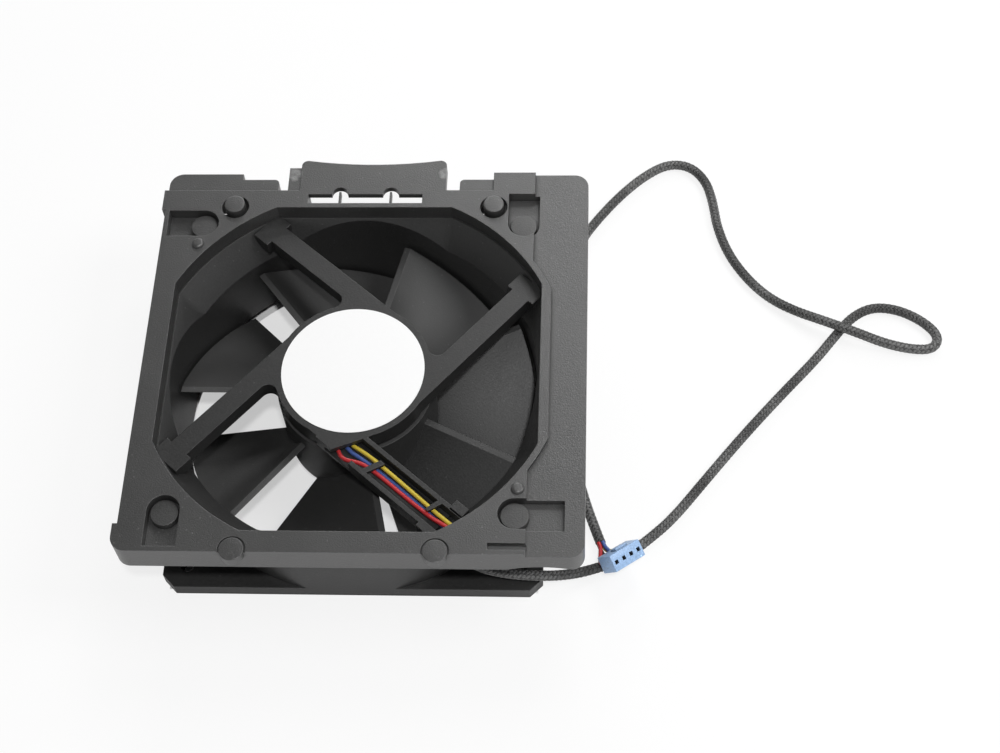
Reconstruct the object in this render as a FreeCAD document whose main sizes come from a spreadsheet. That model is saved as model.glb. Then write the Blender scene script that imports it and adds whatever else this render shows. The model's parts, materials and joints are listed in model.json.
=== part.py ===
import FreeCAD, Part
import math
import os
import Sketcher

# A 120 mm server cooling fan in its moulded carrier bracket, with a sleeved four-wire cable.
# Millimetres. The origin lies on the rotor axis in the intake face, +Z points with the air flow.

doc = FreeCAD.newDocument("cooling_fan")
sheet = doc.addObject("Spreadsheet::Sheet", "dims")

SIZES = {
    # how far cuts overshoot, and how far joined shapes run into each other
    "margin": 1.0,
    "bite": 0.5,
    # fan frame
    "frame_width": 120.0,
    "frame_depth": 38.0,
    "flange_thickness": 5.0,
    "frame_chamfer": 4.0,
    "duct_radius": 58.0,
    "barrel_wall": 3.6,
    "flare_rise": 7.0,
    "flare_half_width": 58.5,
    "flare_depth": 9.0,
    "bell_rise": 4.0,
    "bell_depth": 5.0,
    "hole_spacing": 105.0,
    "hole_radius": 2.15,
    "rivet_hole_radius": 2.35,
    # motor base and struts, on the exhaust side
    "base_radius": 24.6,
    "base_height": 6.5,
    "base_wall": 1.6,
    "base_plate": 2.0,
    "boss_wall": 2.0,
    "strut_width": 6.8,
    "strut_offset": 20.7,
    "strut_height": 5.5,
    "strut_angle": 49.2,
    "strut_fillet": 3.0,
    "strut_embed": 0.2,
    "foot_width": 10.8,
    "foot_length": 6.2,
    "foot_start": 1.2,
    # open channel that carries the leads along one strut
    "channel_near": 14.0,
    "channel_far": 24.6,
    "channel_wall": 1.5,
    "channel_floor": 1.2,
    "channel_overrun": 3.0,
    "channel_tip": 22.5,
    "channel_block_start": 8.0,
    "channel_block_near": 20.0,
    "channel_block_bend": 14.0,
    "channel_block_side": 10.0,
    "apron_far": 14.7,
    "apron_near": 19.7,
    "window_start": 9.0,
    "window_side": 18.0,
    "window_far": 12.0,
    "window_near": 11.0,
    "window_end": 24.0,
    "exit_end": 64.0,
    "exit_side": 22.0,
    "bar_width": 1.9,
    "bar_height": 1.0,
    "first_bar_far": 26.7,
    "first_bar_near": 29.2,
    "first_bar_side": 17.2,
    "second_bar_far": 50.8,
    "second_bar_near": 51.9,
    "second_bar_side": 20.1,
    "left_foot_start": 52.4,
    "left_foot_end": 57.5,
    "left_foot_side": 25.9,
    "right_foot_start": 56.0,
    "right_foot_end": 61.0,
    "right_foot_side": 11.6,
    "label_radius": 22.6,
    "label_thickness": 0.2,
    # impeller
    "hub_radius": 25.0,
    "hub_bottom": 2.5,
    "hub_top": 29.5,
    "hub_wall": 2.4,
    "hub_crown": 2.2,
    "hub_rounding": 2.0,
    "tip_clearance": 1.0,
    "blade_bottom": 4.0,
    "blade_top": 25.0,
    "blade_wrap_tip": 45.5,
    "blade_wrap_root": 49.0,
    "blade_thickness": 1.8,
    "blade_edge": 0.9,
    "blade_edge_width": 2.2,
    "blade_camber_tip": 0.035,
    "blade_camber_root": 0.07,
    "blade_phase": 3.65,
    "blade_root_bite": 4.0,
    "blade_tip_overrun": 3.0,
    # motor inside the hub
    "yoke_thickness": 1.2,
    "yoke_top": 28.5,
    "magnet_thickness": 2.2,
    "magnet_bottom": 9.0,
    "magnet_top": 27.0,
    "air_gap": 0.6,
    "core_bottom": 13.0,
    "core_top": 23.0,
    "core_ring": 3.0,
    "tooth_width": 5.0,
    "shoe_thickness": 2.0,
    "shoe_angle": 76.0,
    "insulator_thickness": 0.9,
    "insulator_setback": 0.4,
    "coil_thickness": 2.0,
    "coil_gap": 0.1,
    "coil_start": 0.6,
    "coil_clearance": 1.3,
    "tube_radius": 5.6,
    "tube_bottom": 10.5,
    "shaft_radius": 1.5,
    "shaft_top": 32.0,
    "shaft_recess": 0.6,
    "bush_radius": 4.5,
    "bush_flange": 1.2,
    "bush_spigot": 3.0,
    "bush_top": 9.0,
    "clip_thickness": 0.4,
    "clip_depth": 0.35,
    "clip_radius": 2.6,
    "clip_opening": 1.6,
    "bearing_radius": 4.0,
    "bearing_width": 4.0,
    "bearing_land": 0.6,
    "land_gap": 1.1,
    "ball_radius": 0.75,
    "ball_play": 0.04,
    "cage_width": 0.5,
    "cage_finger_depth": 0.4,
    "cage_thickness": 0.4,
    "cage_gap": 0.1,
    "cage_reach": 0.45,
    "bearing_low": 11.0,
    "bearing_high": 26.0,
    "washer_thickness": 0.4,
    "washer_radius": 2.9,
    "washer_gap": 0.1,
    "board_drop": 4.6,
    "board_thickness": 1.5,
    "board_gap": 0.8,
    "sensor_turn": 20.0,
    "sensor_overlap": 0.6,
    "sensor_depth": 1.6,
    "sensor_width": 4.2,
    "sensor_gap": 0.8,
    "driver_turn": 110.0,
    "driver_place": 9.5,
    "driver_length": 5.0,
    "driver_width": 4.0,
    "driver_height": 1.4,
    "chip_turn": 60.0,
    "chip_place": 10.0,
    "chip_length": 6.0,
    "chip_width": 5.0,
    "chip_height": 1.2,
    "capacitor_place": 14.0,
    "capacitor_radius": 2.5,
    "capacitor_height": 1.6,
    "capacitor_turn": 20.0,
    # carrier bracket
    "plate_rise": 5.6,
    "plate_thickness": 2.5,
    "skirt_height": 10.6,
    "skirt_wall": 2.0,
    "left_overhang": 5.8,
    "right_overhang": 13.4,
    "front_overhang": 5.9,
    "rear_overhang": 5.8,
    "bracket_rounding": 4.6,
    "shelf_rounding": 1.5,
    "front_ear": 1.5,
    "front_ear_length": 8.9,
    "rear_ear": 1.2,
    "rear_ear_length": 7.8,
    "side_step": 1.6,
    "side_edge": 56.0,
    "side_edge_mid": 62.0,
    "side_edge_gap": 2.0,
    "opening_gap": 0.6,
    "opening_side_gap": 0.4,
    "rim_wall": 1.6,
    "well_radius": 5.05,
    "well_run": 4.3,
    "well_floor": 1.5,
    "well_wall": 1.4,
    "long_well_run": 7.3,
    "block_depth": 7.2,
    "shelf_depth": 4.9,
    "rear_step": 0.8,
    "block_left": 41.4,
    "block_right": 42.2,
    "gap_left": 29.2,
    "gap_right": 31.0,
    "tab_left": 22.0,
    "tab_right": 26.4,
    "tab_length": 12.5,
    "tab_root": 3.0,
    "tab_dip": 2.0,
    "tab_drop": 4.5,
    "tab_plate": 2.0,
    "tab_lip": 2.5,
    "tab_rounding": 2.0,
    "lug_left": 26.0,
    "lug_length": 9.5,
    "lug_drop": 0.5,
    "lug_lift": 1.0,
    "latch_slot_half": 18.9,
    "latch_slot_inset": 5.2,
    "latch_slot_width": 3.6,
    "keyhole_radius": 2.65,
    "keyhole_place": 8.4,
    "keyhole_rib": 0.7,
    "keyhole_rib_drop": 0.4,
    "keyhole_rib_reach": 1.2,
    "stud_radius": 3.35,
    "stud_height": 1.9,
    "stud_drop": 1.0,
    "stud_gap": 1.1,
    "stud_rounding": 0.4,
    "tongue_width": 4.4,
    "rear_stud_across": 42.6,
    "rear_stud_inset": 6.8,
    "front_stud_radius": 3.7,
    "front_stud_height": 0.2,
    "front_stud_depth": 3.0,
    "front_stud_left": 30.7,
    "front_stud_right": 29.5,
    "front_stud_inset": 0.8,
    "front_stud_rounding": 0.15,
    "groove_width": 0.5,
    "groove_depth": 0.6,
    "slot_left": 44.8,
    "slot_right": 56.3,
    "slot_inset": 1.5,
    "slot_width": 2.2,
    "nub_radius": 2.0,
    "nub_height": 1.0,
    "nub_rounding": 0.9,
    "nub_outset": 0.8,
    "nub_inset": 8.2,
    "cable_arch_left": 50.0,
    "cable_arch_right": 71.0,
    "cable_arch_height": 2.0,
    "rivet_head": 4.35,
    "rivet_head_height": 2.35,
    "rivet_rounding": 0.3,
    "rivet_shank": 2.15,
    "rivet_barb": 2.7,
    "rivet_barb_height": 1.8,
    # cable and connector
    "wire_radius": 0.65,
    "wire_seat": 1.6,
    "cable_radius": 1.7,
    "cable_lift": 0.05,
    "cable_crossing": 0.25,
    "sleeve_drop": 7.0,
    "bundle_share": 1.05,
    "tail_start": 2.4,
    "tail_stagger": 0.4,
    "tail_straight": 2.6,
    "plug_width": 12.2,
    "plug_height": 5.5,
    "plug_depth": 7.2,
    "plug_pitch": 3.0,
    "plug_cavity": 2.1,
    "plug_hole": 1.3,
    "plug_front": 1.0,
    "plug_latch_width": 4.4,
    "plug_latch_height": 0.7,
    "plug_latch_low": 4.3,
    "plug_latch_high": 1.4,
    "terminal_clearance": 0.1,
    "terminal_floor": 1.2,
}

for row, (alias, value) in enumerate(SIZES.items(), start=1):
    sheet.set("A%d" % row, alias)
    sheet.set("B%d" % row, str(value))
    sheet.setAlias("B%d" % row, alias)
doc.recompute()


class Size:
    """A number together with the sheet formula that gives it."""

    def __init__(self, value, text=None):
        self.value = float(value)
        self.text = text or "(%r)" % float(value)

    def join(self, other, sign, value):
        return Size(value, "(%s %s %s)" % (self.text, sign, as_size(other).text))

    def __add__(self, other):
        return self.join(other, "+", self.value + as_size(other).value)

    def __sub__(self, other):
        return self.join(other, "-", self.value - as_size(other).value)

    def __mul__(self, other):
        return self.join(other, "*", self.value * as_size(other).value)

    def __truediv__(self, other):
        return self.join(other, "/", self.value / as_size(other).value)

    def __neg__(self):
        return Size(-self.value, "(0 - %s)" % self.text)

    def root(self):
        return Size(math.sqrt(self.value), "sqrt(%s)" % self.text)


def as_size(number):
    return number if isinstance(number, Size) else Size(number)


def size(alias):
    return Size(SIZES[alias], "dims." + alias)


def leg(hypotenuse, side):
    """The other leg of a right triangle."""
    return (hypotenuse * hypotenuse - side * side).root()


ZERO = Size(0)
half_frame = size("frame_width") / 2
frame_depth = size("frame_depth")
half_spacing = size("hole_spacing") / 2
barrel_radius = size("duct_radius") + size("barrel_wall")
flare_radius = size("duct_radius") + size("flare_rise")
bell_radius = size("duct_radius") + size("bell_rise")
opening_radius = flare_radius + size("opening_gap")
opening_half_width = size("flare_half_width") + size("opening_side_gap")
bracket_left = half_frame + size("left_overhang")
bracket_right = half_frame + size("right_overhang")
bracket_front = half_frame + size("front_overhang")
bracket_rear = half_frame + size("rear_overhang")
plate_top = frame_depth + size("plate_rise")
plate_bottom = plate_top - size("plate_thickness")
side_top = plate_top - size("side_step")
skirt_bottom = plate_top - size("skirt_height")
well_floor_top = frame_depth + size("well_floor")
base_bottom = frame_depth - size("base_height")
base_ceiling = frame_depth - size("base_plate")
strut_bottom = frame_depth - size("strut_height")
cavity_radius = size("base_radius") - size("base_wall")
hub_inner = size("hub_radius") - size("hub_wall")
crown_top = size("hub_bottom") + size("hub_crown")
yoke_inner = hub_inner - size("yoke_thickness")
magnet_inner = yoke_inner - size("magnet_thickness")
core_radius = magnet_inner - size("air_gap")
board_top = frame_depth - size("board_drop")
board_bottom = board_top - size("board_thickness")

pieces = []


def vector(x, y, z=0.0):
    return FreeCAD.Vector(x, y, z)


def new_body(label):
    body = doc.addObject("PartDesign::Body", label)
    body.Label = label
    pieces.append(body)
    return body


def origin_item(body, role):
    return [item for item in body.Origin.OriginFeatures if item.Role == role][0]


def sketch_on(body, role, offset=ZERO, turn=ZERO):
    """A sketch on one of the body's own origin planes, lifted and turned about its normal."""
    sketch = body.newObject("Sketcher::SketchObject", "sketch")
    sketch.AttachmentSupport = [(origin_item(body, role), "")]
    sketch.MapMode = "FlatFace"
    spin = FreeCAD.Rotation(vector(0, 0, 1), turn.value)
    sketch.AttachmentOffset = FreeCAD.Placement(vector(0, 0, offset.value), spin)
    sketch.setExpression("AttachmentOffset.Base.z", offset.text)
    if turn.value:
        sketch.setExpression("AttachmentOffset.Rotation.Angle", turn.text)
    return sketch


def constrain(sketch, rows):
    """Add constraints in one go; a row that ends in a size follows the sheet."""
    made, formulas = [], []
    for kind, *where in rows:
        length = where[-1]
        if isinstance(length, Size):
            formulas.append((len(made), length.text))
            where[-1] = length.value
        made.append(Sketcher.Constraint(kind, *where))
    first = sketch.addConstraint(made)[0]
    for place, text in formulas:
        sketch.setExpression("Constraints[%d]" % (first + place), text)


def end_at(sketch, geometry, place):
    """Which end of a line or arc lies at a place: 1 is its start, 2 its end."""
    return 1 if (sketch.getPoint(geometry, 1) - place).Length < 1e-6 else 2


def circle(sketch, x, y, radius):
    number = sketch.addGeometry(Part.Circle(vector(x.value, y.value), vector(0, 0, 1), radius.value))
    constrain(sketch, [
        ("DistanceX", -1, 1, number, 3, x), ("DistanceY", -1, 1, number, 3, y), ("Radius", number, radius)])


def arc_middle(start, end, bulge):
    """A point on the arc from start to end: a positive radius bulges to the right of the way."""
    chord = end - start
    across = vector(chord.y, -chord.x).normalize()
    radius = abs(bulge)
    rise = radius - math.sqrt(max(radius * radius - chord.Length * chord.Length / 4, 0.0))
    return (start + end) * 0.5 + across * math.copysign(rise, bulge)


def arc_row(geometry, start, end):
    """What holds an arc: its radius, or the centre of a half circle, whose ends give the radius."""
    across, along = end[0].value - start[0].value, end[1].value - start[1].value
    radius = start[2]
    if math.hypot(across, along) < 1.999 * abs(radius.value):
        return "Radius", geometry, Size(abs(radius.value), "abs(%s)" % radius.text)
    if abs(across) > abs(along):
        return "DistanceY", -1, 1, geometry, 3, (start[1] + end[1]) / 2
    return "DistanceX", -1, 1, geometry, 3, (start[0] + end[0]) / 2


def outline(sketch, corners):
    """A closed outline; a corner's third value is the radius of the arc that leaves it."""
    count = len(corners)
    places = [vector(corner[0].value, corner[1].value) for corner in corners]
    first = sketch.GeometryCount
    for index, corner in enumerate(corners):
        start, end = places[index], places[(index + 1) % count]
        if len(corner) == 2:
            sketch.addGeometry(Part.LineSegment(start, end))
        else:
            middle = arc_middle(start, end, corner[2].value)
            sketch.addGeometry(Part.Arc(start, middle, end))
    rows = []
    for index, corner in enumerate(corners):
        this, before = first + index, first + (index - 1) % count
        here, there = end_at(sketch, this, places[index]), end_at(sketch, before, places[index])
        rows.append(("Coincident", before, there, this, here))
        rows.append(("DistanceX", -1, 1, this, here, corner[0]))
        rows.append(("DistanceY", -1, 1, this, here, corner[1]))
        if len(corner) == 3:
            rows.append(arc_row(this, corner, corners[(index + 1) % count]))
    constrain(sketch, rows)


def rectangle(sketch, left, right, front, rear):
    outline(sketch, [(left, front), (right, front), (right, rear), (left, rear)])


def cut_circle(sketch, radius, half_width):
    """A circle, cut flat on the four sides where it reaches past the half width."""
    if radius.value <= half_width.value:
        circle(sketch, ZERO, ZERO, radius)
        return
    side = leg(radius, half_width)
    outline(sketch, [
        (half_width, -side), (half_width, side, radius), (side, half_width),
        (-side, half_width, radius), (-half_width, side), (-half_width, -side, radius),
        (-side, -half_width), (side, -half_width, radius)])


def bind(item, name, length):
    setattr(item, name, length.value)
    item.setExpression(name, length.text)


def pad(body, bottom, top, draw, turn=ZERO):
    """Raise what draw puts into a level sketch from bottom to top."""
    sketch = sketch_on(body, "XY_Plane", bottom, turn)
    draw(sketch)
    feature = body.newObject("PartDesign::Pad", "pad")
    feature.Profile = sketch
    bind(feature, "Length", top - bottom)
    body.Tip = feature
    return feature


def pocket(body, bottom, top, draw, turn=ZERO, taper=ZERO, upward=False):
    """Cut what draw puts into a level sketch, down from top or up from bottom."""
    sketch = sketch_on(body, "XY_Plane", bottom if upward else top, turn)
    draw(sketch)
    feature = body.newObject("PartDesign::Pocket", "pocket")
    feature.Profile = sketch
    bind(feature, "Length", top - bottom)
    feature.Reversed = upward
    if taper.value:
        bind(feature, "TaperAngle", taper)
    body.Tip = feature
    return feature


def around(body, features, count):
    """Repeat features about the rotor axis."""
    pattern = body.newObject("PartDesign::PolarPattern", "pattern")
    pattern.Originals = features
    pattern.Axis = (origin_item(body, "Z_Axis"), [""])
    pattern.Angle = 360
    pattern.Occurrences = count
    body.Tip = pattern
    return pattern


def revolve(body, corners):
    """Turn a closed half profile of (radius, height) corners about the rotor axis."""
    sketch = sketch_on(body, "XZ_Plane")
    outline(sketch, corners)
    feature = body.newObject("PartDesign::Revolution", "revolution")
    feature.Profile = sketch
    feature.ReferenceAxis = (sketch, ["V_Axis"])
    feature.Angle = 360
    body.Tip = feature
    return feature


def ring_corners(inner, outer, bottom, top):
    return [(inner, bottom), (outer, bottom), (outer, top), (inner, top)]


def round_edges(body, radius, wanted):
    """Fillet the edges of the body so far that the test wants."""
    doc.recompute()
    base = body.Tip
    names = ["Edge%d" % (number + 1) for number, edge in enumerate(base.Shape.Edges) if wanted(edge)]
    fillet = body.newObject("PartDesign::Fillet", "fillet")
    fillet.Base = (base, names)
    bind(fillet, "Radius", radius)
    body.Tip = fillet


def upright_at(edge, x, y):
    """Whether an edge stands upright at a place in plan."""
    box = edge.BoundBox
    return box.XLength + box.YLength < 1e-4 and abs(box.XMin - x.value) + abs(box.YMin - y.value) < 1e-3


def level_at(edge, height):
    """Whether an edge lies level at a height."""
    box = edge.BoundBox
    return box.ZLength < 1e-4 and abs(box.ZMin - height.value) < 1e-3


def strut_turn(quarter):
    return size("strut_angle") + 90.0 * quarter


CHANNEL_QUARTER = -1
channel_turn = strut_turn(CHANNEL_QUARTER)


def corner_circles(radius):
    """What draws a circle at each of the four mounting holes."""
    def draw(sketch):
        for x, y in ((1, 1), (-1, 1), (-1, -1), (1, -1)):
            circle(sketch, half_spacing * x, half_spacing * y, radius)
    return draw


def make_housing():
    body = new_body("fan_housing")
    chamfer = half_frame - size("frame_chamfer")
    flange = size("flange_thickness")

    def square(sketch):
        outline(sketch, [
            (chamfer, -half_frame), (half_frame, -chamfer), (half_frame, chamfer), (chamfer, half_frame),
            (-chamfer, half_frame), (-half_frame, chamfer), (-half_frame, -chamfer), (-chamfer, -half_frame)])

    def waist(sketch):
        circle(sketch, ZERO, ZERO, size("frame_width"))
        circle(sketch, ZERO, ZERO, barrel_radius)

    pad(body, ZERO, frame_depth, square)
    pocket(body, flange, frame_depth - flange, waist)
    pocket(body, ZERO, frame_depth, lambda sketch: circle(sketch, ZERO, ZERO, size("duct_radius")))
    flare = math.degrees(math.atan(SIZES["flare_rise"] / SIZES["flare_depth"]))
    bell = math.degrees(math.atan(SIZES["bell_rise"] / SIZES["bell_depth"]))
    pocket(body, frame_depth - size("flare_depth"), frame_depth,
           lambda sketch: cut_circle(sketch, flare_radius, size("flare_half_width")),
           taper=Size(-flare))
    pocket(body, ZERO, size("bell_depth"),
           lambda sketch: cut_circle(sketch, bell_radius, size("flare_half_width")),
           taper=Size(-bell), upward=True)
    make_struts(body)
    make_channel(body)
    pocket(body, ZERO, flange, corner_circles(size("hole_radius")))
    pocket(body, frame_depth - flange, frame_depth, corner_circles(size("rivet_hole_radius")))


def make_struts(body):
    """Motor base held by four tangential struts with widened feet in the flare."""
    base = size("base_radius")
    near = size("strut_offset") - size("strut_width") / 2
    far = size("strut_offset") + size("strut_width") / 2
    end = leg(barrel_radius - size("strut_embed"), far)
    fillet = size("strut_fillet")
    centre_along = leg(base + fillet, near - fillet)
    shrink = base / (base + fillet)

    def strut(sketch):
        outline(sketch, [
            (ZERO, -far), (end, -far), (end, -near), (centre_along, -near, -fillet),
            (centre_along * shrink, -(near - fillet) * shrink), (ZERO, -(near - fillet) * shrink)])

    def foot(sketch):
        start, reach = end - size("foot_start"), size("foot_width") / 2
        rectangle(sketch, start, start + size("foot_length"),
                  -size("strut_offset") - reach, -size("strut_offset") + reach)

    pad(body, base_bottom, frame_depth, lambda sketch: circle(sketch, ZERO, ZERO, base))
    struts = pad(body, strut_bottom, frame_depth, strut, size("strut_angle"))
    feet = pad(body, frame_depth - size("flange_thickness"), frame_depth, foot, size("strut_angle"))
    around(body, [struts, feet], 4)


def make_channel(body):
    """Widen one strut into an open channel, hollow the base and open the way out for the leads."""
    near, far, wall = size("channel_near"), size("channel_far"), size("channel_wall")
    end = leg(barrel_radius - size("strut_embed"), far)
    floor = strut_bottom + size("channel_floor")
    tip = size("channel_tip")
    inside, outside, beyond = -near - wall, wall - far, -far - size("bite")

    def block(sketch):
        outline(sketch, [
            (size("channel_block_start"), -far), (end, -far), (end, -near),
            (size("channel_block_near"), -near), (size("channel_block_bend"), -size("channel_block_side"))])

    def channel(sketch):
        last = end + size("channel_overrun")
        outline(sketch, [
            (size("apron_far"), beyond), (tip, beyond), (tip, outside), (last, outside), (last, inside),
            (size("apron_near"), inside)])

    def window(sketch):
        outline(sketch, [
            (size("window_start"), -size("window_side")), (size("window_far"), beyond), (tip, beyond),
            (tip, outside), (size("window_end"), inside), (size("window_near"), inside)])

    def bars(sketch):
        width = size("bar_width")
        far_end, near_end, side = size("first_bar_far"), size("first_bar_near"), -size("first_bar_side")
        outline(sketch, [(far_end, outside - wall / 2), (far_end + width, outside - wall / 2),
                         (near_end + width, side), (near_end, side)])
        far_end, near_end, side = size("second_bar_far"), size("second_bar_near"), -size("second_bar_side")
        outline(sketch, [(far_end, side), (near_end, side), (near_end + width, inside + wall / 2),
                         (near_end, inside + wall / 2)])

    def feet(sketch):
        rectangle(sketch, size("left_foot_start"), size("left_foot_end"), -size("left_foot_side"),
                  outside - wall / 2)
        rectangle(sketch, size("right_foot_start"), size("right_foot_end"), inside + wall / 2,
                  -size("right_foot_side"))

    pad(body, strut_bottom, frame_depth, block, channel_turn)
    pad(body, frame_depth - size("flange_thickness"), frame_depth, feet, channel_turn)
    pocket(body, floor, frame_depth, channel, channel_turn)
    pad(body, frame_depth - size("bar_height"), frame_depth, bars, channel_turn)
    pocket(body, base_bottom, base_ceiling,
           lambda sketch: circle(sketch, ZERO, ZERO, cavity_radius), upward=True)
    pocket(body, floor, base_ceiling, window, channel_turn)
    pocket(body, strut_bottom, frame_depth, lambda sketch: rectangle(
        sketch, end, size("exit_end"), -size("exit_side"), inside), channel_turn)

    def collar(sketch):
        circle(sketch, ZERO, ZERO, size("tube_radius") + size("boss_wall"))
        circle(sketch, ZERO, ZERO, size("tube_radius"))

    pad(body, board_top, base_ceiling, collar)


def make_label():
    body = new_body("hub_label")
    pad(body, frame_depth, frame_depth + size("label_thickness"),
        lambda sketch: circle(sketch, ZERO, ZERO, size("label_radius")))


BLADE_COUNT = 7


def arc_radius(chord, sag):
    return Size((chord * chord / 4 + sag * sag) / (2 * sag))


def blade_section(body, distance, wrap, camber):
    """One blade section, on a plane square to the radius at a distance from the axis."""
    sketch = sketch_on(body, "YZ_Plane", distance)
    reach = distance * math.tan(math.radians(wrap / 2))
    low, high = size("blade_bottom"), size("blade_top")
    edge, width = size("blade_edge"), size("blade_edge_width")
    chord = math.hypot(2 * reach.value, SIZES["blade_top"] - SIZES["blade_bottom"])
    swell = (SIZES["blade_thickness"] - SIZES["blade_edge"]) / 2
    under, over = arc_radius(chord, camber * chord + swell), arc_radius(chord, camber * chord - swell)
    outline(sketch, [(-reach, low, under), (reach, high), (reach - width, high, -over), (-reach, low + edge)])
    return sketch


def make_impeller():
    body = new_body("impeller")
    tip = size("duct_radius") - size("tip_clearance")
    pad(body, size("hub_bottom"), size("hub_top"),
        lambda sketch: circle(sketch, ZERO, ZERO, size("hub_radius")))
    round_edges(body, size("hub_rounding"), lambda edge: level_at(edge, size("hub_bottom")))
    root = blade_section(body, size("hub_radius") - size("blade_root_bite"), SIZES["blade_wrap_root"],
                         SIZES["blade_camber_root"])
    far = blade_section(body, tip + size("blade_tip_overrun"), SIZES["blade_wrap_tip"],
                        SIZES["blade_camber_tip"])
    blade = body.newObject("PartDesign::AdditiveLoft", "blade")
    blade.Profile = root
    blade.Sections = [far]
    blade.Ruled = True
    around(body, [blade], BLADE_COUNT)

    def beyond_tips(sketch):
        circle(sketch, ZERO, ZERO, tip * 2)
        circle(sketch, ZERO, ZERO, tip)

    pocket(body, ZERO, size("hub_top"), beyond_tips, Size(180.0 / BLADE_COUNT))
    pocket(body, crown_top, size("hub_top"), lambda sketch: circle(sketch, ZERO, ZERO, hub_inner))
    pocket(body, size("hub_bottom"), crown_top,
           lambda sketch: circle(sketch, ZERO, ZERO, size("shaft_radius")))
    phase = FreeCAD.Rotation(vector(0, 0, 1), SIZES["blade_phase"])
    body.Placement = FreeCAD.Placement(vector(0, 0, 0), phase)
    body.setExpression("Placement.Rotation.Angle", "dims.blade_phase")


def make_rotor_motor():
    """What turns with the impeller: yoke, magnet, bush, shaft with its clip and washer."""
    plate = crown_top + size("yoke_thickness")
    flange = plate + size("bush_flange")
    spigot, bush = size("bush_spigot"), size("bush_radius")
    shaft, shaft_bottom = size("shaft_radius"), size("hub_bottom") + size("shaft_recess")
    revolve(new_body("rotor_yoke"), [
        (spigot, crown_top), (hub_inner, crown_top), (hub_inner, size("yoke_top")),
        (yoke_inner, size("yoke_top")), (yoke_inner, plate), (spigot, plate)])
    revolve(new_body("rotor_magnet"),
            ring_corners(magnet_inner, yoke_inner, size("magnet_bottom"), size("magnet_top")))
    revolve(new_body("shaft_bush"), [
        (shaft, crown_top), (spigot, crown_top), (spigot, plate), (bush, plate), (bush, flange),
        (spigot, flange), (spigot, size("bush_top")), (shaft, size("bush_top"))])
    groove = size("bearing_high") + size("bearing_width")
    neck = shaft - size("clip_depth")
    groove_top = groove + size("clip_thickness")
    revolve(new_body("rotor_shaft"), [
        (ZERO, shaft_bottom), (shaft, shaft_bottom), (shaft, groove), (neck, groove), (neck, groove_top),
        (shaft, groove_top), (shaft, size("shaft_top")), (ZERO, size("shaft_top"))])
    make_clip(groove, neck)
    make_spring_washer()


def make_clip(bottom, neck):
    """Retaining ring, open on one side."""
    body = new_body("retaining_clip")
    top, half = bottom + size("clip_thickness"), size("clip_opening") / 2

    def clip(sketch):
        circle(sketch, ZERO, ZERO, size("clip_radius"))
        circle(sketch, ZERO, ZERO, neck)

    pad(body, bottom, top, clip)
    pocket(body, bottom, top,
           lambda sketch: rectangle(sketch, ZERO, size("clip_radius") + size("margin"), -half, half))


def make_spring_washer():
    """Conical washer that presses the lower bearing's inner ring away from the bush."""
    low, high = size("bush_top"), size("bearing_low")
    inner, outer = size("shaft_radius") + size("washer_gap"), size("washer_radius")
    thick = size("washer_thickness")
    revolve(new_body("preload_washer"), [
        (outer - thick, low), (outer, low), (inner + thick, high), (inner, high)])


def bearing_centres():
    return [size(alias) + size("bearing_width") / 2 for alias in ("bearing_low", "bearing_high")]


def make_bearings():
    """Two ball bearings: outer rings, inner rings, balls and cages."""
    shaft, outer = size("shaft_radius"), size("bearing_radius")
    track = (shaft + outer) / 2
    race = size("ball_radius") + size("ball_play")
    apart, half = size("land_gap") / 2, size("bearing_width") / 2
    rim = leg(race, apart)
    outer_bodies = new_body("bearing_outer_rings")
    inner_bodies = new_body("bearing_inner_rings")
    for centre in bearing_centres():
        bore, land = track + apart, track - apart
        revolve(outer_bodies, [
            (bore, centre - half), (outer, centre - half), (outer, centre + half), (bore, centre + half),
            (bore, centre + rim, -race), (bore, centre - rim)])
        revolve(inner_bodies, [
            (shaft, centre - half), (land, centre - half), (land, centre - rim, -race), (land, centre + rim),
            (land, centre + half), (shaft, centre + half)])
    make_balls(track)
    make_cages(track)


BALL_COUNT = 7


def make_balls(track):
    body = new_body("bearing_balls")
    for centre in bearing_centres():
        ball = body.newObject("PartDesign::AdditiveSphere", "ball")
        ball.AttachmentSupport = [(origin_item(body, "XY_Plane"), "")]
        ball.MapMode = "FlatFace"
        ball.AttachmentOffset = FreeCAD.Placement(vector(track.value, 0, centre.value), FreeCAD.Rotation())
        ball.setExpression("AttachmentOffset.Base.x", track.text)
        ball.setExpression("AttachmentOffset.Base.z", centre.text)
        bind(ball, "Radius", size("ball_radius"))
        around(body, [ball], BALL_COUNT)


def make_cages(track):
    """Crown cages: a ring above the balls with a finger between each two."""
    body = new_body("ball_cages")
    half, depth = size("cage_width") / 2, size("cage_finger_depth") / 2
    finger_turn = Size(180.0 / BALL_COUNT)
    for centre in bearing_centres():
        bottom = centre + size("ball_radius") + size("cage_gap")
        top = bottom + size("cage_thickness")

        def ring(sketch):
            circle(sketch, ZERO, ZERO, track + half)
            circle(sketch, ZERO, ZERO, track - half)

        pad(body, bottom, top, ring)
        finger = pad(body, centre - size("cage_reach"), top,
                     lambda sketch: rectangle(sketch, track - depth, track + depth, -half, half), finger_turn)
        around(body, [finger], BALL_COUNT)


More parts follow.
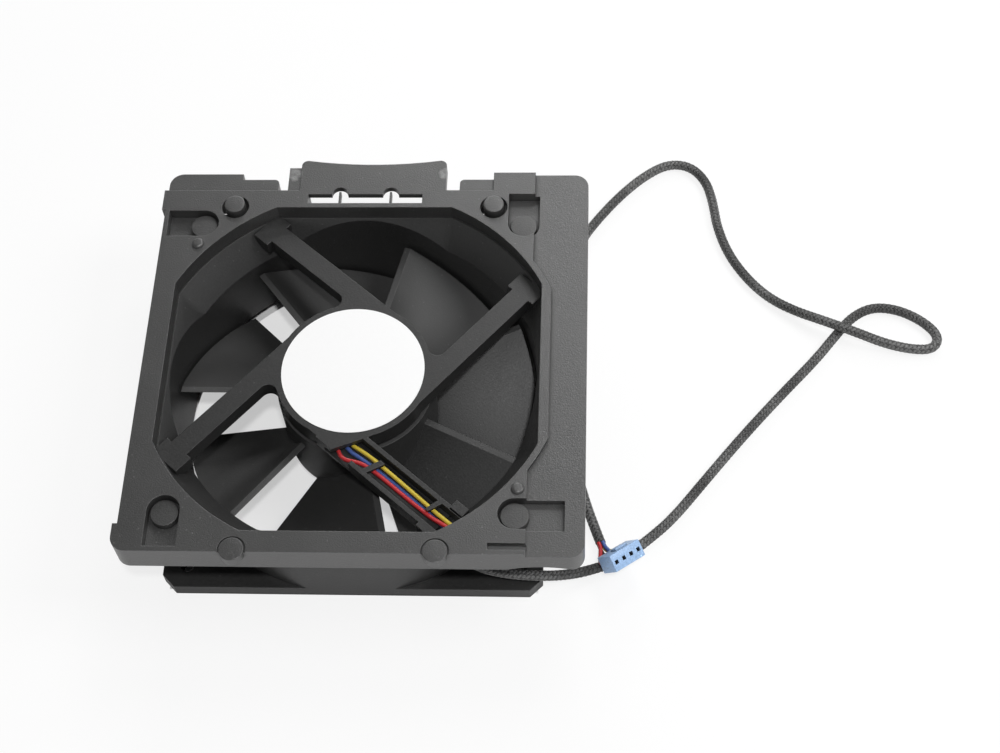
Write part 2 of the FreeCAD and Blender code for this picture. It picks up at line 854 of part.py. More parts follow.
def make_stator():
    """Wound core on its tube, with insulators on both faces."""
    tube = size("tube_radius")
    seat = size("bearing_radius")
    low = size("bearing_low") + size("bearing_width")
    high = size("bearing_high")
    land = seat - size("bearing_land")
    revolve(new_body("bearing_tube"), [
        (seat, size("tube_bottom")), (tube, size("tube_bottom")), (tube, base_ceiling),
        (seat, base_ceiling), (seat, high), (land, high), (land, low), (seat, low)])
    core_part("stator_core", size("core_bottom"), size("core_top"), core_radius)
    thin = size("insulator_thickness")
    low, high = size("core_bottom") - thin, size("core_top")
    for label, bottom in (("insulator_lower", low), ("insulator_upper", high)):
        core_part(label, bottom, bottom + thin, core_radius - size("insulator_setback"))
    make_coils()


def core_part(label, bottom, top, radius):
    """A ring with four shoed teeth, cut from sheet or moulded to the same outline."""
    body = new_body(label)
    tube, ring = size("tube_radius"), size("tube_radius") + size("core_ring")
    inner = radius - size("shoe_thickness")
    sweep = math.radians(SIZES["shoe_angle"] / 2)

    def yoke(sketch):
        circle(sketch, ZERO, ZERO, ring)
        circle(sketch, ZERO, ZERO, tube)

    def tooth(sketch):
        half = size("tooth_width") / 2
        rectangle(sketch, ring - size("margin"), inner + size("bite"), -half, half)

    def shoe(sketch):
        cos, sin = math.cos(sweep), math.sin(sweep)
        outline(sketch, [(inner * cos, -inner * sin), (radius * cos, -radius * sin, radius),
                         (radius * cos, radius * sin), (inner * cos, inner * sin, -inner)])

    pad(body, bottom, top, yoke)
    teeth = [pad(body, bottom, top, tooth), pad(body, bottom, top, shoe)]
    around(body, teeth, 4)


def make_coils():
    """Four copper windings round the teeth."""
    body = new_body("stator_coils")
    inner = size("tube_radius") + size("core_ring") + size("coil_start")
    outer = core_radius - size("shoe_thickness") - size("coil_clearance")
    sketch = sketch_on(body, "YZ_Plane", inner)
    gap, build = size("coil_gap"), size("coil_thickness")
    half = size("tooth_width") / 2 + gap
    bottom = size("core_bottom") - size("insulator_thickness") - gap
    top = size("core_top") + size("insulator_thickness") + gap
    rectangle(sketch, -half - build, half + build, bottom - build, top + build)
    rectangle(sketch, -half, half, bottom, top)
    coil = body.newObject("PartDesign::Pad", "coil")
    coil.Profile = sketch
    bind(coil, "Length", outer - inner)
    around(body, [coil], 4)


def make_board():
    """Ring-shaped driver board with its sensor, driver and capacitors."""
    top = board_top

    def board(sketch):
        circle(sketch, ZERO, ZERO, cavity_radius - size("board_gap"))
        circle(sketch, ZERO, ZERO, size("tube_radius"))

    def block(place, length, width):
        return lambda sketch: rectangle(sketch, place, place + length, -width / 2, width / 2)

    pad(new_body("circuit_board"), board_bottom, top, board)
    parts = new_body("board_components")
    sensor_place = magnet_inner + size("sensor_overlap") - size("sensor_depth")
    pad(parts, size("yoke_top") + size("sensor_gap"), board_bottom,
        block(sensor_place, size("sensor_depth"), size("sensor_width")), size("sensor_turn"))
    pad(parts, board_bottom - size("driver_height"), board_bottom,
        block(size("driver_place"), size("driver_length"), size("driver_width")), size("driver_turn"))
    pad(parts, top, top + size("chip_height"),
        block(size("chip_place"), size("chip_length"), size("chip_width")), size("chip_turn"))
    for side in (-1, 1):
        pad(parts, top, top + size("capacitor_height"),
            lambda sketch: circle(sketch, -size("capacitor_place"), ZERO, size("capacitor_radius")),
            size("capacitor_turn") * side)


def make_bracket():
    body = new_body("carrier_bracket")
    margin, wall = size("margin"), size("skirt_wall")
    left, right = -bracket_left, bracket_right
    front, rear = -bracket_front, bracket_rear
    block, shelf = rear + size("block_depth"), rear + size("shelf_depth")
    block_left, block_right = -size("block_left"), size("block_right")
    gap_left, gap_right = -size("gap_left"), size("gap_right")
    ear, ear_rear = left - size("front_ear"), front + size("front_ear_length")
    lobe, lobe_front = left - size("rear_ear"), rear - size("rear_ear_length")

    def shell(sketch):
        outline(sketch, [
            (ear, front), (right, front), (right, block), (block_right, block), (block_right, shelf),
            (gap_right, shelf), (gap_right, rear), (gap_left, rear), (gap_left, shelf), (block_left, shelf),
            (block_left, block), (left, block), (left, rear), (lobe, rear), (lobe, lobe_front),
            (left, lobe_front), (left, ear_rear), (ear, ear_rear)])

    def hollow(sketch):
        rectangle(sketch, left + wall, size("side_edge") + wall, front + wall, rear - wall)

    def side_hollow(sketch):
        rectangle(sketch, size("side_edge"), right - wall, front + wall, block - wall)

    def rim(sketch):
        rim_wall = size("rim_wall")
        cut_circle(sketch, opening_radius + rim_wall, opening_half_width + rim_wall)

    def side_step(sketch):
        edge, middle = size("side_edge"), size("side_edge_mid")
        radius = opening_radius + size("side_edge_gap")
        outline(sketch, [
            (edge, front - margin), (right + margin, front - margin), (right + margin, block + margin),
            (edge, block + margin), (edge, leg(radius, edge), -radius), (middle, leg(radius, middle)),
            (middle, -leg(radius, middle), -radius), (edge, -leg(radius, edge))])

    def rear_steps(sketch):
        rectangle(sketch, lobe - margin, gap_left, rear, block + margin)
        rectangle(sketch, gap_right, block_right, rear, block + margin)

    pad(body, skirt_bottom, plate_top, shell)
    pocket(body, skirt_bottom, plate_bottom, hollow, upward=True)
    pocket(body, skirt_bottom, plate_bottom - size("side_step"), side_hollow, upward=True)
    pocket(body, side_top, plate_top, side_step)
    pocket(body, plate_top - size("rear_step"), plate_top, rear_steps)
    pad(body, frame_depth, plate_bottom, rim)
    make_tab(body)
    pocket(body, skirt_bottom, plate_top,
           lambda sketch: cut_circle(sketch, opening_radius, opening_half_width))
    make_studs(body)
    make_wells(body)
    make_bracket_details(body)
    corners = ((ear, front), (right, front), (right, block), (left, block))
    round_edges(body, size("bracket_rounding"),
                lambda edge: any(upright_at(edge, x, y) for x, y in corners))
    shelf_corners = ((gap_left, shelf), (gap_right, shelf))
    round_edges(body, size("shelf_rounding"),
                lambda edge: any(upright_at(edge, x, y) for x, y in shelf_corners))
    tab_end = rear + size("tab_length")
    tab_corners = ((-size("tab_left"), tab_end), (size("tab_right"), tab_end))
    round_edges(body, size("tab_rounding"),
                lambda edge: any(upright_at(edge, x, y) for x, y in tab_corners))
    round_edges(body, size("stud_rounding"), lambda edge: level_at(edge, plate_top + size("stud_height")))
    round_edges(body, size("nub_rounding"), lambda edge: level_at(edge, plate_top + size("nub_height")))
    round_edges(body, size("front_stud_rounding"),
                lambda edge: level_at(edge, plate_top + size("front_stud_height")))


def make_tab(body):
    """Grip tab behind the opening: a sprung plate with a lip, freed by a slot with two keyholes."""
    left, right, rear = -size("tab_left"), size("tab_right"), bracket_rear
    reach, dip = rear + size("tab_length"), size("tab_dip")
    root = rear - size("tab_root")
    span = right - left
    hollow = (span * span / 4 + dip * dip) / (dip * 2)
    bottom = plate_top - size("tab_drop")
    near, half = rear - size("latch_slot_inset"), size("latch_slot_half")
    far = near + size("latch_slot_width")
    place, radius = size("keyhole_place"), size("keyhole_radius")

    def tab(sketch):
        outline(sketch, [(left, root), (right, root), (right, reach, -hollow), (left, reach)])

    def lug(sketch):
        rectangle(sketch, -size("lug_left"), left + size("bite"), rear - size("margin"),
                  rear + size("lug_length"))

    def underside(sketch):
        rectangle(sketch, -half, half, near, reach - dip - size("tab_lip"))

    def latch_slot(sketch):
        outline(sketch, [
            (-half, near), (half, near), (half, far), (place + radius, far, radius), (place - radius, far),
            (-place + radius, far, radius), (-place - radius, far), (-half, far)])

    def ribs(sketch):
        width = size("keyhole_rib") / 2
        for side in (-1, 1):
            rectangle(sketch, place * side - width, place * side + width, near - size("bite"),
                      far + size("keyhole_rib_reach"))

    pad(body, bottom, plate_top, tab)
    pad(body, bottom + size("lug_lift"), plate_top - size("lug_drop"), lug)
    pocket(body, skirt_bottom, plate_top - size("tab_plate"), underside, upward=True)
    pocket(body, skirt_bottom, plate_top, latch_slot)
    pad(body, plate_bottom, plate_top - size("keyhole_rib_drop"), ribs)


def make_wells(body):
    """Corner wells that seat the rivets, each open along one side of the bracket, one longer."""
    radius, wall, reach = size("well_radius"), size("well_wall"), half_frame + size("well_run")
    long_reach = half_frame + size("long_well_run")
    place = half_spacing
    outer, cup_end = radius + wall, reach + size("margin")

    def cup(sketch):
        outline(sketch, [(place + outer, place), (place + outer, cup_end), (place - outer, cup_end),
                         (place - outer, place, outer)])

    def well(sketch):
        outline(sketch, [(place + radius, place), (place + radius, reach), (place - radius, reach),
                         (place - radius, place, radius)])

    def long_cup(sketch):
        rectangle(sketch, place, long_reach + wall, -place - outer, -place + outer)

    def long_well(sketch):
        rectangle(sketch, place, long_reach, -place - radius, -place + radius)

    cup_top = plate_bottom + size("bite")
    around(body, [pad(body, frame_depth, cup_top, cup)], 4)
    pad(body, frame_depth, cup_top, long_cup)
    wells = pocket(body, well_floor_top, plate_top, well)
    holes = pocket(body, frame_depth, well_floor_top,
                   lambda sketch: circle(sketch, place, place, size("rivet_hole_radius")))
    around(body, [wells, holes], 4)
    pocket(body, well_floor_top, plate_top, long_well)


def make_studs(body):
    """Two sprung buttons behind the opening, two discs on the front edge."""
    stud, gap, disc = size("stud_radius"), size("stud_gap"), size("front_stud_radius")
    across, along = size("rear_stud_across"), bracket_rear - size("rear_stud_inset")

    def rear_circles(radius):
        def draw(sketch):
            for side in (-1, 1):
                circle(sketch, across * side, along, radius)
        return draw

    def tongues(sketch):
        half = size("tongue_width") / 2
        for side in (-1, 1):
            rectangle(sketch, across * side - half, across * side + half, along,
                      along + stud + gap + size("margin"))

    def front_circles(radius):
        def draw(sketch):
            for place in (-size("front_stud_left"), size("front_stud_right")):
                circle(sketch, place, size("front_stud_inset") - bracket_front, radius)
        return draw

    pocket(body, skirt_bottom, plate_top, rear_circles(stud + gap))
    pad(body, plate_bottom, plate_top, tongues)
    pad(body, plate_bottom - size("stud_drop"), plate_top + size("stud_height"), rear_circles(stud))
    pocket(body, plate_top - size("groove_depth"), plate_top, front_circles(disc + size("groove_width")))
    disc_top = plate_top + size("front_stud_height")
    pad(body, plate_top - size("front_stud_depth"), disc_top, front_circles(disc))


def make_bracket_details(body):
    """Locating nubs, a slot and the arch that lets the cable out."""
    front, margin = bracket_front, size("margin")
    slot_front = size("slot_inset") - front
    pocket(body, skirt_bottom, plate_top, lambda sketch: rectangle(
        sketch, size("slot_left"), size("slot_right"), slot_front, slot_front + size("slot_width")))
    left, right, rise = size("cable_arch_left"), size("cable_arch_right"), size("cable_arch_height")
    span = right - left
    radius = (span * span / 4 + rise * rise) / (rise * 2)
    sketch = sketch_on(body, "XZ_Plane", front + margin)
    outline(sketch, [(left, skirt_bottom - margin), (right, skirt_bottom - margin),
                     (right, skirt_bottom, radius), (left, skirt_bottom)])
    arch = body.newObject("PartDesign::Pocket", "arch")
    arch.Profile = sketch
    bind(arch, "Length", margin + size("skirt_wall") + size("bite"))
    body.Tip = arch
    nub_across, nub_along = half_spacing + size("nub_outset"), half_spacing - size("nub_inset")

    def nubs(sketch):
        circle(sketch, -nub_across, nub_along, size("nub_radius"))
        circle(sketch, nub_across, -nub_along, size("nub_radius"))

    pad(body, plate_bottom, plate_top + size("nub_height"), nubs)


def make_rivets():
    """Push rivets through the wells and the exhaust flange."""
    body = new_body("fan_rivets")
    flange_bottom = frame_depth - size("flange_thickness")
    barb_bottom = flange_bottom - size("rivet_barb_height")
    head_top = well_floor_top + size("rivet_head_height")
    pad(body, barb_bottom, well_floor_top, corner_circles(size("rivet_shank")))
    pad(body, well_floor_top, head_top, corner_circles(size("rivet_head")))
    pad(body, barb_bottom, flange_bottom, corner_circles(size("rivet_barb")))
    round_edges(body, size("rivet_rounding"), lambda edge: level_at(edge, head_top))


def rounded_path(points):
    """Straight runs joined by tangent arcs, each as large as its two runs allow."""
    edges, radii = [], []
    last = points[0]
    for before, corner, after in zip(points, points[1:], points[2:]):
        into, out = corner - before, after - corner
        shorter = min(into.Length, out.Length)
        turn = into.getAngle(out)
        cut = 0.45 * shorter
        radii.append(cut / math.tan(turn / 2))
        into.normalize()
        out.normalize()
        start, end = corner - into * cut, corner + out * cut
        bisector = (out - into).normalize()
        middle = corner + bisector * (radii[-1] / math.cos(turn / 2) - radii[-1])
        edges.append(Part.LineSegment(last, start).toShape())
        edges.append(Part.Arc(start, middle, end).toShape())
        last = end
    edges.append(Part.LineSegment(last, points[-1]).toShape())
    return Part.Wire(edges), radii


def make_tube(label, points, radius):
    """A round solid along a route; prints how its arcs and volume came out."""
    path, radii = rounded_path(points)
    first = (points[1] - points[0]).normalize()
    section = Part.Wire(Part.makeCircle(radius, points[0], first))
    tube = doc.addObject("Part::Feature", label)
    tube.Label = label
    tube.Shape = path.makePipeShell([section], True, False)
    pieces.append(tube)
    share = tube.Shape.Volume / (math.pi * radius * radius * path.Length)
    print("%s: length %.0f, volume share %.4f, radii %s" % (
        label, path.Length, share, " ".join("%.1f" % value for value in radii)))
    return tube


# The cable lies on the floor: out of the fan's corner, round a loop, back under the bracket's edge.
FLOOR = SIZES["cable_radius"] + SIZES["cable_lift"]
OVER = FLOOR + 2 * SIZES["cable_radius"] + SIZES["cable_crossing"]
SLEEVE = SIZES["frame_depth"] - SIZES["sleeve_drop"]
CABLE_ROUTE = [
    (34.9, -55.2, SLEEVE), (35.8, -56.4, 22.0), (41.0, -57.0, 15.0), (50.0, -57.0, 10.6), (60.0, -56.5, 8.2),
    (69.0, -53.6, 3.4), (77.0, -50.6, FLOOR), (85.0, -47.2, FLOOR), (93.0, -40.6, FLOOR),
    (101.0, -33.0, FLOOR), (112.0, -18.5, FLOOR), (124.0, -3.0, FLOOR), (137.0, 12.6, FLOOR),
    (149.2, 26.4, FLOOR), (156.5, 36.2, FLOOR), (162.4, 43.6, FLOOR), (169.5, 47.6, FLOOR),
    (178.0, 46.6, FLOOR), (186.0, 42.0, FLOOR), (190.9, 36.0, FLOOR), (188.8, 31.0, FLOOR),
    (182.0, 30.7, FLOOR), (172.5, 32.3, 3.0), (162.5, 35.4, OVER), (152.5, 39.7, OVER), (143.0, 45.2, 3.0),
    (134.5, 51.4, FLOOR), (127.3, 59.5, FLOOR), (121.5, 69.5, FLOOR), (118.0, 81.0, FLOOR),
    (116.9, 91.5, FLOOR), (114.6, 101.0, FLOOR), (109.0, 107.5, FLOOR), (101.0, 108.3, FLOOR),
    (92.5, 102.7, FLOOR), (84.4, 94.5, FLOOR), (77.0, 85.0, FLOOR), (70.5, 75.0, FLOOR),
    (67.2, 62.0, FLOOR), (66.3, 45.0, FLOOR), (66.2, 25.0, FLOOR), (66.6, 5.0, FLOOR), (69.0, -12.0, FLOOR),
    (72.6, -26.0, FLOOR), (75.6, -35.2, FLOOR), (78.0, -42.0, 2.2)]

# Lead routes: along the channel, across it away from the axis, and depth below the exhaust face.
LEAD_ROUTES = {
    "red": [(8.5, 17.5, 3.5), (14.5, 22.0, 3.0), (19.2, 24.2, 2.0), (24.4, 21.2, 1.9),
            (31.0, 20.6, 1.9), (44.0, 20.7, 1.9), (54.0, 20.4, 2.0), (58.0, 19.6, 2.2)],
    "yellow": [(11.0, 14.6, 3.5), (16.5, 18.5, 3.0), (24.0, 17.8, 2.0), (34.0, 17.9, 1.9),
               (44.0, 18.1, 1.9), (54.0, 18.3, 2.0), (58.0, 18.2, 2.2)],
    "blue": [(9.8, 16.0, 3.5), (16.5, 20.4, 3.4), (25.0, 19.5, 3.2), (36.0, 19.2, 3.2),
             (45.0, 19.4, 3.2), (54.0, 19.6, 3.4), (58.0, 19.6, 3.6)],
    "black": [(12.4, 13.2, 3.5), (16.2, 17.0, 3.5), (25.0, 16.6, 3.5), (36.0, 16.9, 3.5),
              (45.0, 16.9, 3.5), (54.0, 17.4, 3.5), (58.0, 18.2, 3.6)],
}
# Height above the sleeve's end at which each lead turns down.
LEAD_TURNS = {"red": 4.75, "yellow": 4.75, "blue": 3.35, "black": 3.35}
# Which side of the bundle each wire lies on, at the sleeve's two ends.
LEAD_PLACES = {"red": (1, 1), "yellow": (-1, 1), "blue": (1, -1), "black": (-1, -1)}
TAIL_PLACES = {"red": (1, -1), "black": (1, 1), "blue": (-1, -1), "yellow": (-1, 1)}


def in_channel(along, out, below):
    """From the channel's own directions to the fan's frame."""
    angle = math.radians(channel_turn.value)
    cos, sin = math.cos(angle), math.sin(angle)
    return vector(along * cos + out * sin, along * sin - out * cos, SIZES["frame_depth"] - below)


def bundled(place, way, side, share):
    """Where one wire of the bundle lies at an end of the sleeve."""
    side = (side - way * side.dot(way)).normalize()
    apart = SIZES["wire_radius"] * SIZES["bundle_share"]
    return place + side * (share[0] * apart) + way.cross(side) * (share[1] * apart)


def make_leads():
    start = vector(*CABLE_ROUTE[0])
    way = (start - vector(*CABLE_ROUTE[1])).normalize()
    for colour, share in LEAD_PLACES.items():
        meet = bundled(start, way, in_channel(0, 1, 0) - in_channel(0, 0, 0), share)
        route = [in_channel(*place) for place in LEAD_ROUTES[colour]]
        make_tube("lead_" + colour, route + [meet + way * LEAD_TURNS[colour], meet], SIZES["wire_radius"])


PLUG_PLACE = vector(86.36, -51.15, 12.48)
PLUG_TURN = FreeCAD.Rotation(40.2, 15.4, 34.4)
PLUG = FreeCAD.Placement(PLUG_PLACE, PLUG_TURN)


def plug_place(index):
    return size("plug_pitch") * (index - 1.5)


def make_plug():
    """Four-way connector: mating face up, cavities open to the rear, a latch bump on one side."""
    body = new_body("connector_housing")
    half, tall, depth = size("plug_width") / 2, size("plug_height") / 2, size("plug_depth")
    front = -size("plug_front")
    cavity, hole = size("plug_cavity") / 2, size("plug_hole") / 2

    def squares(reach):
        def draw(sketch):
            for index in range(4):
                rectangle(sketch, plug_place(index) - reach, plug_place(index) + reach, -reach, reach)
        return draw

    def latch(sketch):
        reach = size("plug_latch_width") / 2
        rectangle(sketch, -reach, reach, tall, tall + size("plug_latch_height"))

    pad(body, -depth, ZERO, lambda sketch: rectangle(sketch, -half, half, -tall, tall))
    pocket(body, -depth, front, squares(cavity), upward=True)
    pocket(body, front, ZERO, squares(hole))
    pad(body, -size("plug_latch_low"), -size("plug_latch_high"), latch)
    body.Placement = PLUG
    body = new_body("connector_terminals")
    bottom, top = size("wire_seat") - depth, front - size("terminal_clearance")
    pad(body, bottom, top, squares(cavity - size("terminal_clearance")))
    pocket(body, bottom + size("terminal_floor"), top, squares(hole))
    body.Placement = PLUG


def make_tails():
    """Short bare wires from the sleeve's end into the connector."""
    end = vector(*CABLE_ROUTE[-1])
    way = (end - vector(*CABLE_ROUTE[-2])).normalize()
    depth = SIZES["plug_depth"]
    for index, (colour, share) in enumerate(TAIL_PLACES.items()):
        across = plug_place(index).value
        into = PLUG.multVec(vector(across, 0, SIZES["wire_seat"] - depth))
        behind = PLUG.multVec(vector(across, 0, -depth - SIZES["tail_straight"]))
        meet = bundled(end, way, way.cross(vector(0, 0, 1)), share)
        turn = meet + way * (SIZES["tail_start"] + SIZES["tail_stagger"] * share[1])
        make_tube("tail_" + colour, [meet, turn, behind, into], SIZES["wire_radius"])


def make_cable():
    make_tube("cable_sleeve", [vector(*place) for place in CABLE_ROUTE], SIZES["cable_radius"])


def main():
    make_housing()
    make_label()
    make_impeller()
    make_rotor_motor()
    make_bearings()
    make_stator()
    make_board()
    make_bracket()
    make_rivets()
    make_leads()
    make_cable()
    make_plug()
    make_tails()
    doc.recompute()
    bad = [item.Label for item in doc.Objects if {"Invalid", "Error"} & set(item.State)]
    bad += [piece.Label for piece in pieces if piece.Shape.isNull() or not piece.Shape.isValid()]
    if bad:
        raise RuntimeError("failed: " + ", ".join(bad))
    os.makedirs("parts", exist_ok=True)
    for piece in pieces:
        piece.Shape.exportStep("parts/%s.step" % piece.Label)
    print("%d parts written" % len(pieces))


main()
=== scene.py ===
# %% [markdown]
# # A server cooling fan in its carrier bracket
#
# The object is a square fan housing with a seven-bladed impeller, held by four push rivets in a moulded
# bracket, with a sleeved cable and a small connector. Its forms come from CAD and stay where they are, in
# metres, with the origin on the rotor axis and +Z along the air flow. They could be modelled again here, but
# then every fit would need another test, so this lesson only gives them their finish and weaves the cable's
# sleeve.

# %% Load the frame
import json
import math

import bmesh
import bpy
from mathutils import Matrix, Vector

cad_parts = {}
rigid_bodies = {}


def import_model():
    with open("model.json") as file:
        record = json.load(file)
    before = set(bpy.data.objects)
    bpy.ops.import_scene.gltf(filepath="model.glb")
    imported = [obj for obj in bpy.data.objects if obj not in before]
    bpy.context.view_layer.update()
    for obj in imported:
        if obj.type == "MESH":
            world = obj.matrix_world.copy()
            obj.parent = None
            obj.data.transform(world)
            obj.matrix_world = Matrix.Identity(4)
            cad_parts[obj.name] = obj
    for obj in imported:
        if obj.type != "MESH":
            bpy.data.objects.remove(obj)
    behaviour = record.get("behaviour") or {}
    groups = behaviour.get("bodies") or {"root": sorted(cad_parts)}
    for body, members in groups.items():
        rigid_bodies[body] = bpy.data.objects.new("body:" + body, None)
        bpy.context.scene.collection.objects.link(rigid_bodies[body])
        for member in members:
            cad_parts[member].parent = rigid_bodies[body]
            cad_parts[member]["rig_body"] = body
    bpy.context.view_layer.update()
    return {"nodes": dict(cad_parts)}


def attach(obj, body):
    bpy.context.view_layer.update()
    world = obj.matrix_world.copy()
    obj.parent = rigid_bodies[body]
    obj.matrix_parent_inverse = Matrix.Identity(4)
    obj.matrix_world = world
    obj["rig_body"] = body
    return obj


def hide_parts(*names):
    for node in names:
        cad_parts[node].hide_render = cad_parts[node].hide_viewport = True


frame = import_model()

# %% [markdown]
# ## The camera
#
# A product photograph taken from above, with a slightly tilted camera. Its angles were found from the
# square frame's known size. A camera could be aimed with a Track To constraint, but that can't hold the tilt,
# so place, azimuth, elevation and roll are written down, and a reader can change them one by one. A camera
# looks along its own -Z, so its matrix holds right, up and back as columns.

# %% Make the camera
MM = 0.001
CAMERA_PLACE = Vector((78.50, -295.94, 530.74)) * MM
AZIMUTH, ELEVATION, ROLL = (math.radians(angle) for angle in (6.240, 59.044, -5.069))
LENS = 66.26


def camera_matrix(place, azimuth, elevation, roll):
    back = Vector((math.sin(azimuth) * math.cos(elevation), -math.cos(azimuth) * math.cos(elevation),
                   math.sin(elevation)))
    right = Vector((math.cos(azimuth), math.sin(azimuth), 0.0))
    up = back.cross(right)
    turned_right = right * math.cos(roll) + up * math.sin(roll)
    turned_up = up * math.cos(roll) - right * math.sin(roll)
    turn = Matrix((turned_right, turned_up, back)).transposed().to_4x4()
    return Matrix.Translation(place) @ turn


camera_data = bpy.data.cameras.new("camera")
camera_data.lens = LENS
camera_data.clip_start, camera_data.clip_end = 0.01, 20.0
camera = bpy.data.objects.new("camera", camera_data)
bpy.context.scene.collection.objects.link(camera)
camera.matrix_world = camera_matrix(CAMERA_PLACE, AZIMUTH, ELEVATION, ROLL)
bpy.context.scene.camera = camera
print("camera looks along", [round(value, 3) for value in -camera.matrix_world.col[2].to_3d()])

# %% [markdown]
# ## Small helpers for node trees
#
# Materials and Geometry Nodes are both node trees. Adding a node takes several lines each time, so a few
# helpers do it: one adds a node and sets it, one joins sockets, and the others add the nodes that come up
# most. A number or colour that is the same all over goes straight on the shader's own socket and needs none
# of them.

# %% Nodes and links


def start_material(name):
    material = bpy.data.materials.new(name)
    material.use_nodes = True
    tree = material.node_tree
    return material, tree, tree.nodes["Principled BSDF"]


def add_node(tree, kind, inputs=None, **settings):
    """A node with its properties set by name, then its inputs by name or number."""
    node = tree.nodes.new(kind)
    for key, value in settings.items():
        setattr(node, key, value)
    for key, value in (inputs or {}).items():
        node.inputs[key].default_value = value
    return node


def link(tree, *pairs):
    for output, socket in pairs:
        tree.links.new(output, socket)


print("helpers: start_material, add_node, link")

# %% Maths, ranges and colours


def maths(tree, operation, *values):
    """A Math node fed by sockets or numbers; gives its output."""
    node = add_node(tree, "ShaderNodeMath", operation=operation)
    for socket, value in zip(node.inputs, values):
        if isinstance(value, (int, float)):
            socket.default_value = value
        else:
            tree.links.new(value, socket)
    return node.outputs[0]


def ranged(tree, value, start, end, low=0.0, high=1.0):
    """A Map Range node: start gives low, end gives high, and what lies beyond them is held."""
    node = add_node(tree, "ShaderNodeMapRange",
                    {"From Min": start, "From Max": end, "To Min": low, "To Max": high})
    tree.links.new(value, node.inputs["Value"])
    return node.outputs[0]


def object_place(tree):
    """The point's place on the object, in metres."""
    return add_node(tree, "ShaderNodeTexCoord").outputs["Object"]


def colour_mix(tree, first, second):
    """A Mix node for colours, whose colour sockets share their names with its number sockets."""
    mix = add_node(tree, "ShaderNodeMix", data_type="RGBA")
    mix.inputs[6].default_value = (*first, 1.0)
    mix.inputs[7].default_value = (*second, 1.0)
    return mix


print("helpers: maths, ranged, object_place, colour_mix")

# %% [markdown]
# ## The floor
#
# The photograph has a white ground without a horizon. Brighter lamps would whiten a pale floor, but they
# would wash out the fan too. So the floor is pale paper that glows, and only as the camera sees it: the Light
# Path node tells a camera ray from the rest. Round the fan it glows at four fifths and keeps a soft shadow.
# In the duct's mouth it glows at half, so that the blades' shadows show between them, and under the flange's
# corners not at all. Reflections see the glow too, from a little way out, because the bracket shades the
# ground beside it.

# %% Where the floor glows
MOUTH_REACH = 58.0 * MM
SHADE_REACH = 58.5 * MM
REFLECTED_FROM, REFLECTED_FULL = 68.0 * MM, 95.0 * MM
MOUTH_GLOW, OPEN_GLOW = 0.5, 0.8


def mirror_rays(tree, rays):
    """1 for a ray that comes from a reflection or through something clear."""
    return maths(tree, "MAXIMUM", rays.outputs["Is Glossy Ray"], rays.outputs["Is Transmission Ray"])


def square_reach(tree, place):
    """How far a point lies from the middle, along X or Y, whichever is more."""
    parts = add_node(tree, "ShaderNodeSeparateXYZ")
    link(tree, (place, parts.inputs[0]))
    return maths(tree, "MAXIMUM", maths(tree, "ABSOLUTE", parts.outputs["X"]),
                 maths(tree, "ABSOLUTE", parts.outputs["Y"]))


def glow_share(tree):
    """How much of the paper's look is glow, by the place on the floor and the kind of ray."""
    rays = add_node(tree, "ShaderNodeLightPath")
    place = object_place(tree)
    reach = square_reach(tree, place)
    radius = add_node(tree, "ShaderNodeVectorMath", operation="LENGTH")
    link(tree, (place, radius.inputs[0]))
    in_mouth = maths(tree, "LESS_THAN", radius.outputs["Value"], MOUTH_REACH)
    outside = maths(tree, "GREATER_THAN", reach, SHADE_REACH)
    bright = maths(tree, "MAXIMUM", maths(tree, "MULTIPLY", in_mouth, MOUTH_GLOW),
                   maths(tree, "MULTIPLY", outside, OPEN_GLOW))
    seen = maths(tree, "MULTIPLY", rays.outputs["Is Camera Ray"], bright)
    clear = ranged(tree, reach, REFLECTED_FROM, REFLECTED_FULL, 0.0, OPEN_GLOW)
    return maths(tree, "MAXIMUM", seen, maths(tree, "MULTIPLY", mirror_rays(tree, rays), clear))


print("floor glows beyond", SHADE_REACH / MM, "mm")

# %% [markdown]
# The sheet's back is clear, so that a camera below it sees the fan's intake side. A face's two sides are told
# apart by the Geometry node's Backfacing.

# %% Floor
PAPER_SHADE, PAPER_ROUGHNESS = 0.95, 0.9
FLOOR_HALF = 3.0
FLOOR_DROP = -0.0002


def floor_finish():
    """Matt paper that glows to the camera and is clear from below."""
    material, tree, shader = start_material("studio_floor")
    shader.inputs["Base Color"].default_value = (PAPER_SHADE, PAPER_SHADE, PAPER_SHADE, 1.0)
    shader.inputs["Roughness"].default_value = PAPER_ROUGHNESS
    shader.inputs["Specular IOR Level"].default_value = 0.0
    glow = add_node(tree, "ShaderNodeEmission", {"Strength": 1.0, "Color": (1.0, 1.0, 1.0, 1.0)})
    paper_side = add_node(tree, "ShaderNodeMixShader")
    side = add_node(tree, "ShaderNodeNewGeometry")
    clear_back = add_node(tree, "ShaderNodeBsdfTransparent")
    sheet = add_node(tree, "ShaderNodeMixShader")
    link(tree, (glow_share(tree), paper_side.inputs["Fac"]), (shader.outputs[0], paper_side.inputs[1]),
         (glow.outputs[0], paper_side.inputs[2]), (side.outputs["Backfacing"], sheet.inputs["Fac"]),
         (paper_side.outputs[0], sheet.inputs[1]), (clear_back.outputs[0], sheet.inputs[2]),
         (sheet.outputs[0], tree.nodes["Material Output"].inputs["Surface"]))
    return material


floor_mesh = bpy.data.meshes.new("floor")
corners = [(-1, -1), (1, -1), (1, 1), (-1, 1)]
floor_mesh.from_pydata([(x * FLOOR_HALF, y * FLOOR_HALF, FLOOR_DROP) for x, y in corners], [], [(0, 1, 2, 3)])
floor_mesh.materials.append(floor_finish())
floor = bpy.data.objects.new("floor", floor_mesh)
bpy.context.scene.collection.objects.link(floor)
print("floor", FLOOR_HALF * 2, "m square")

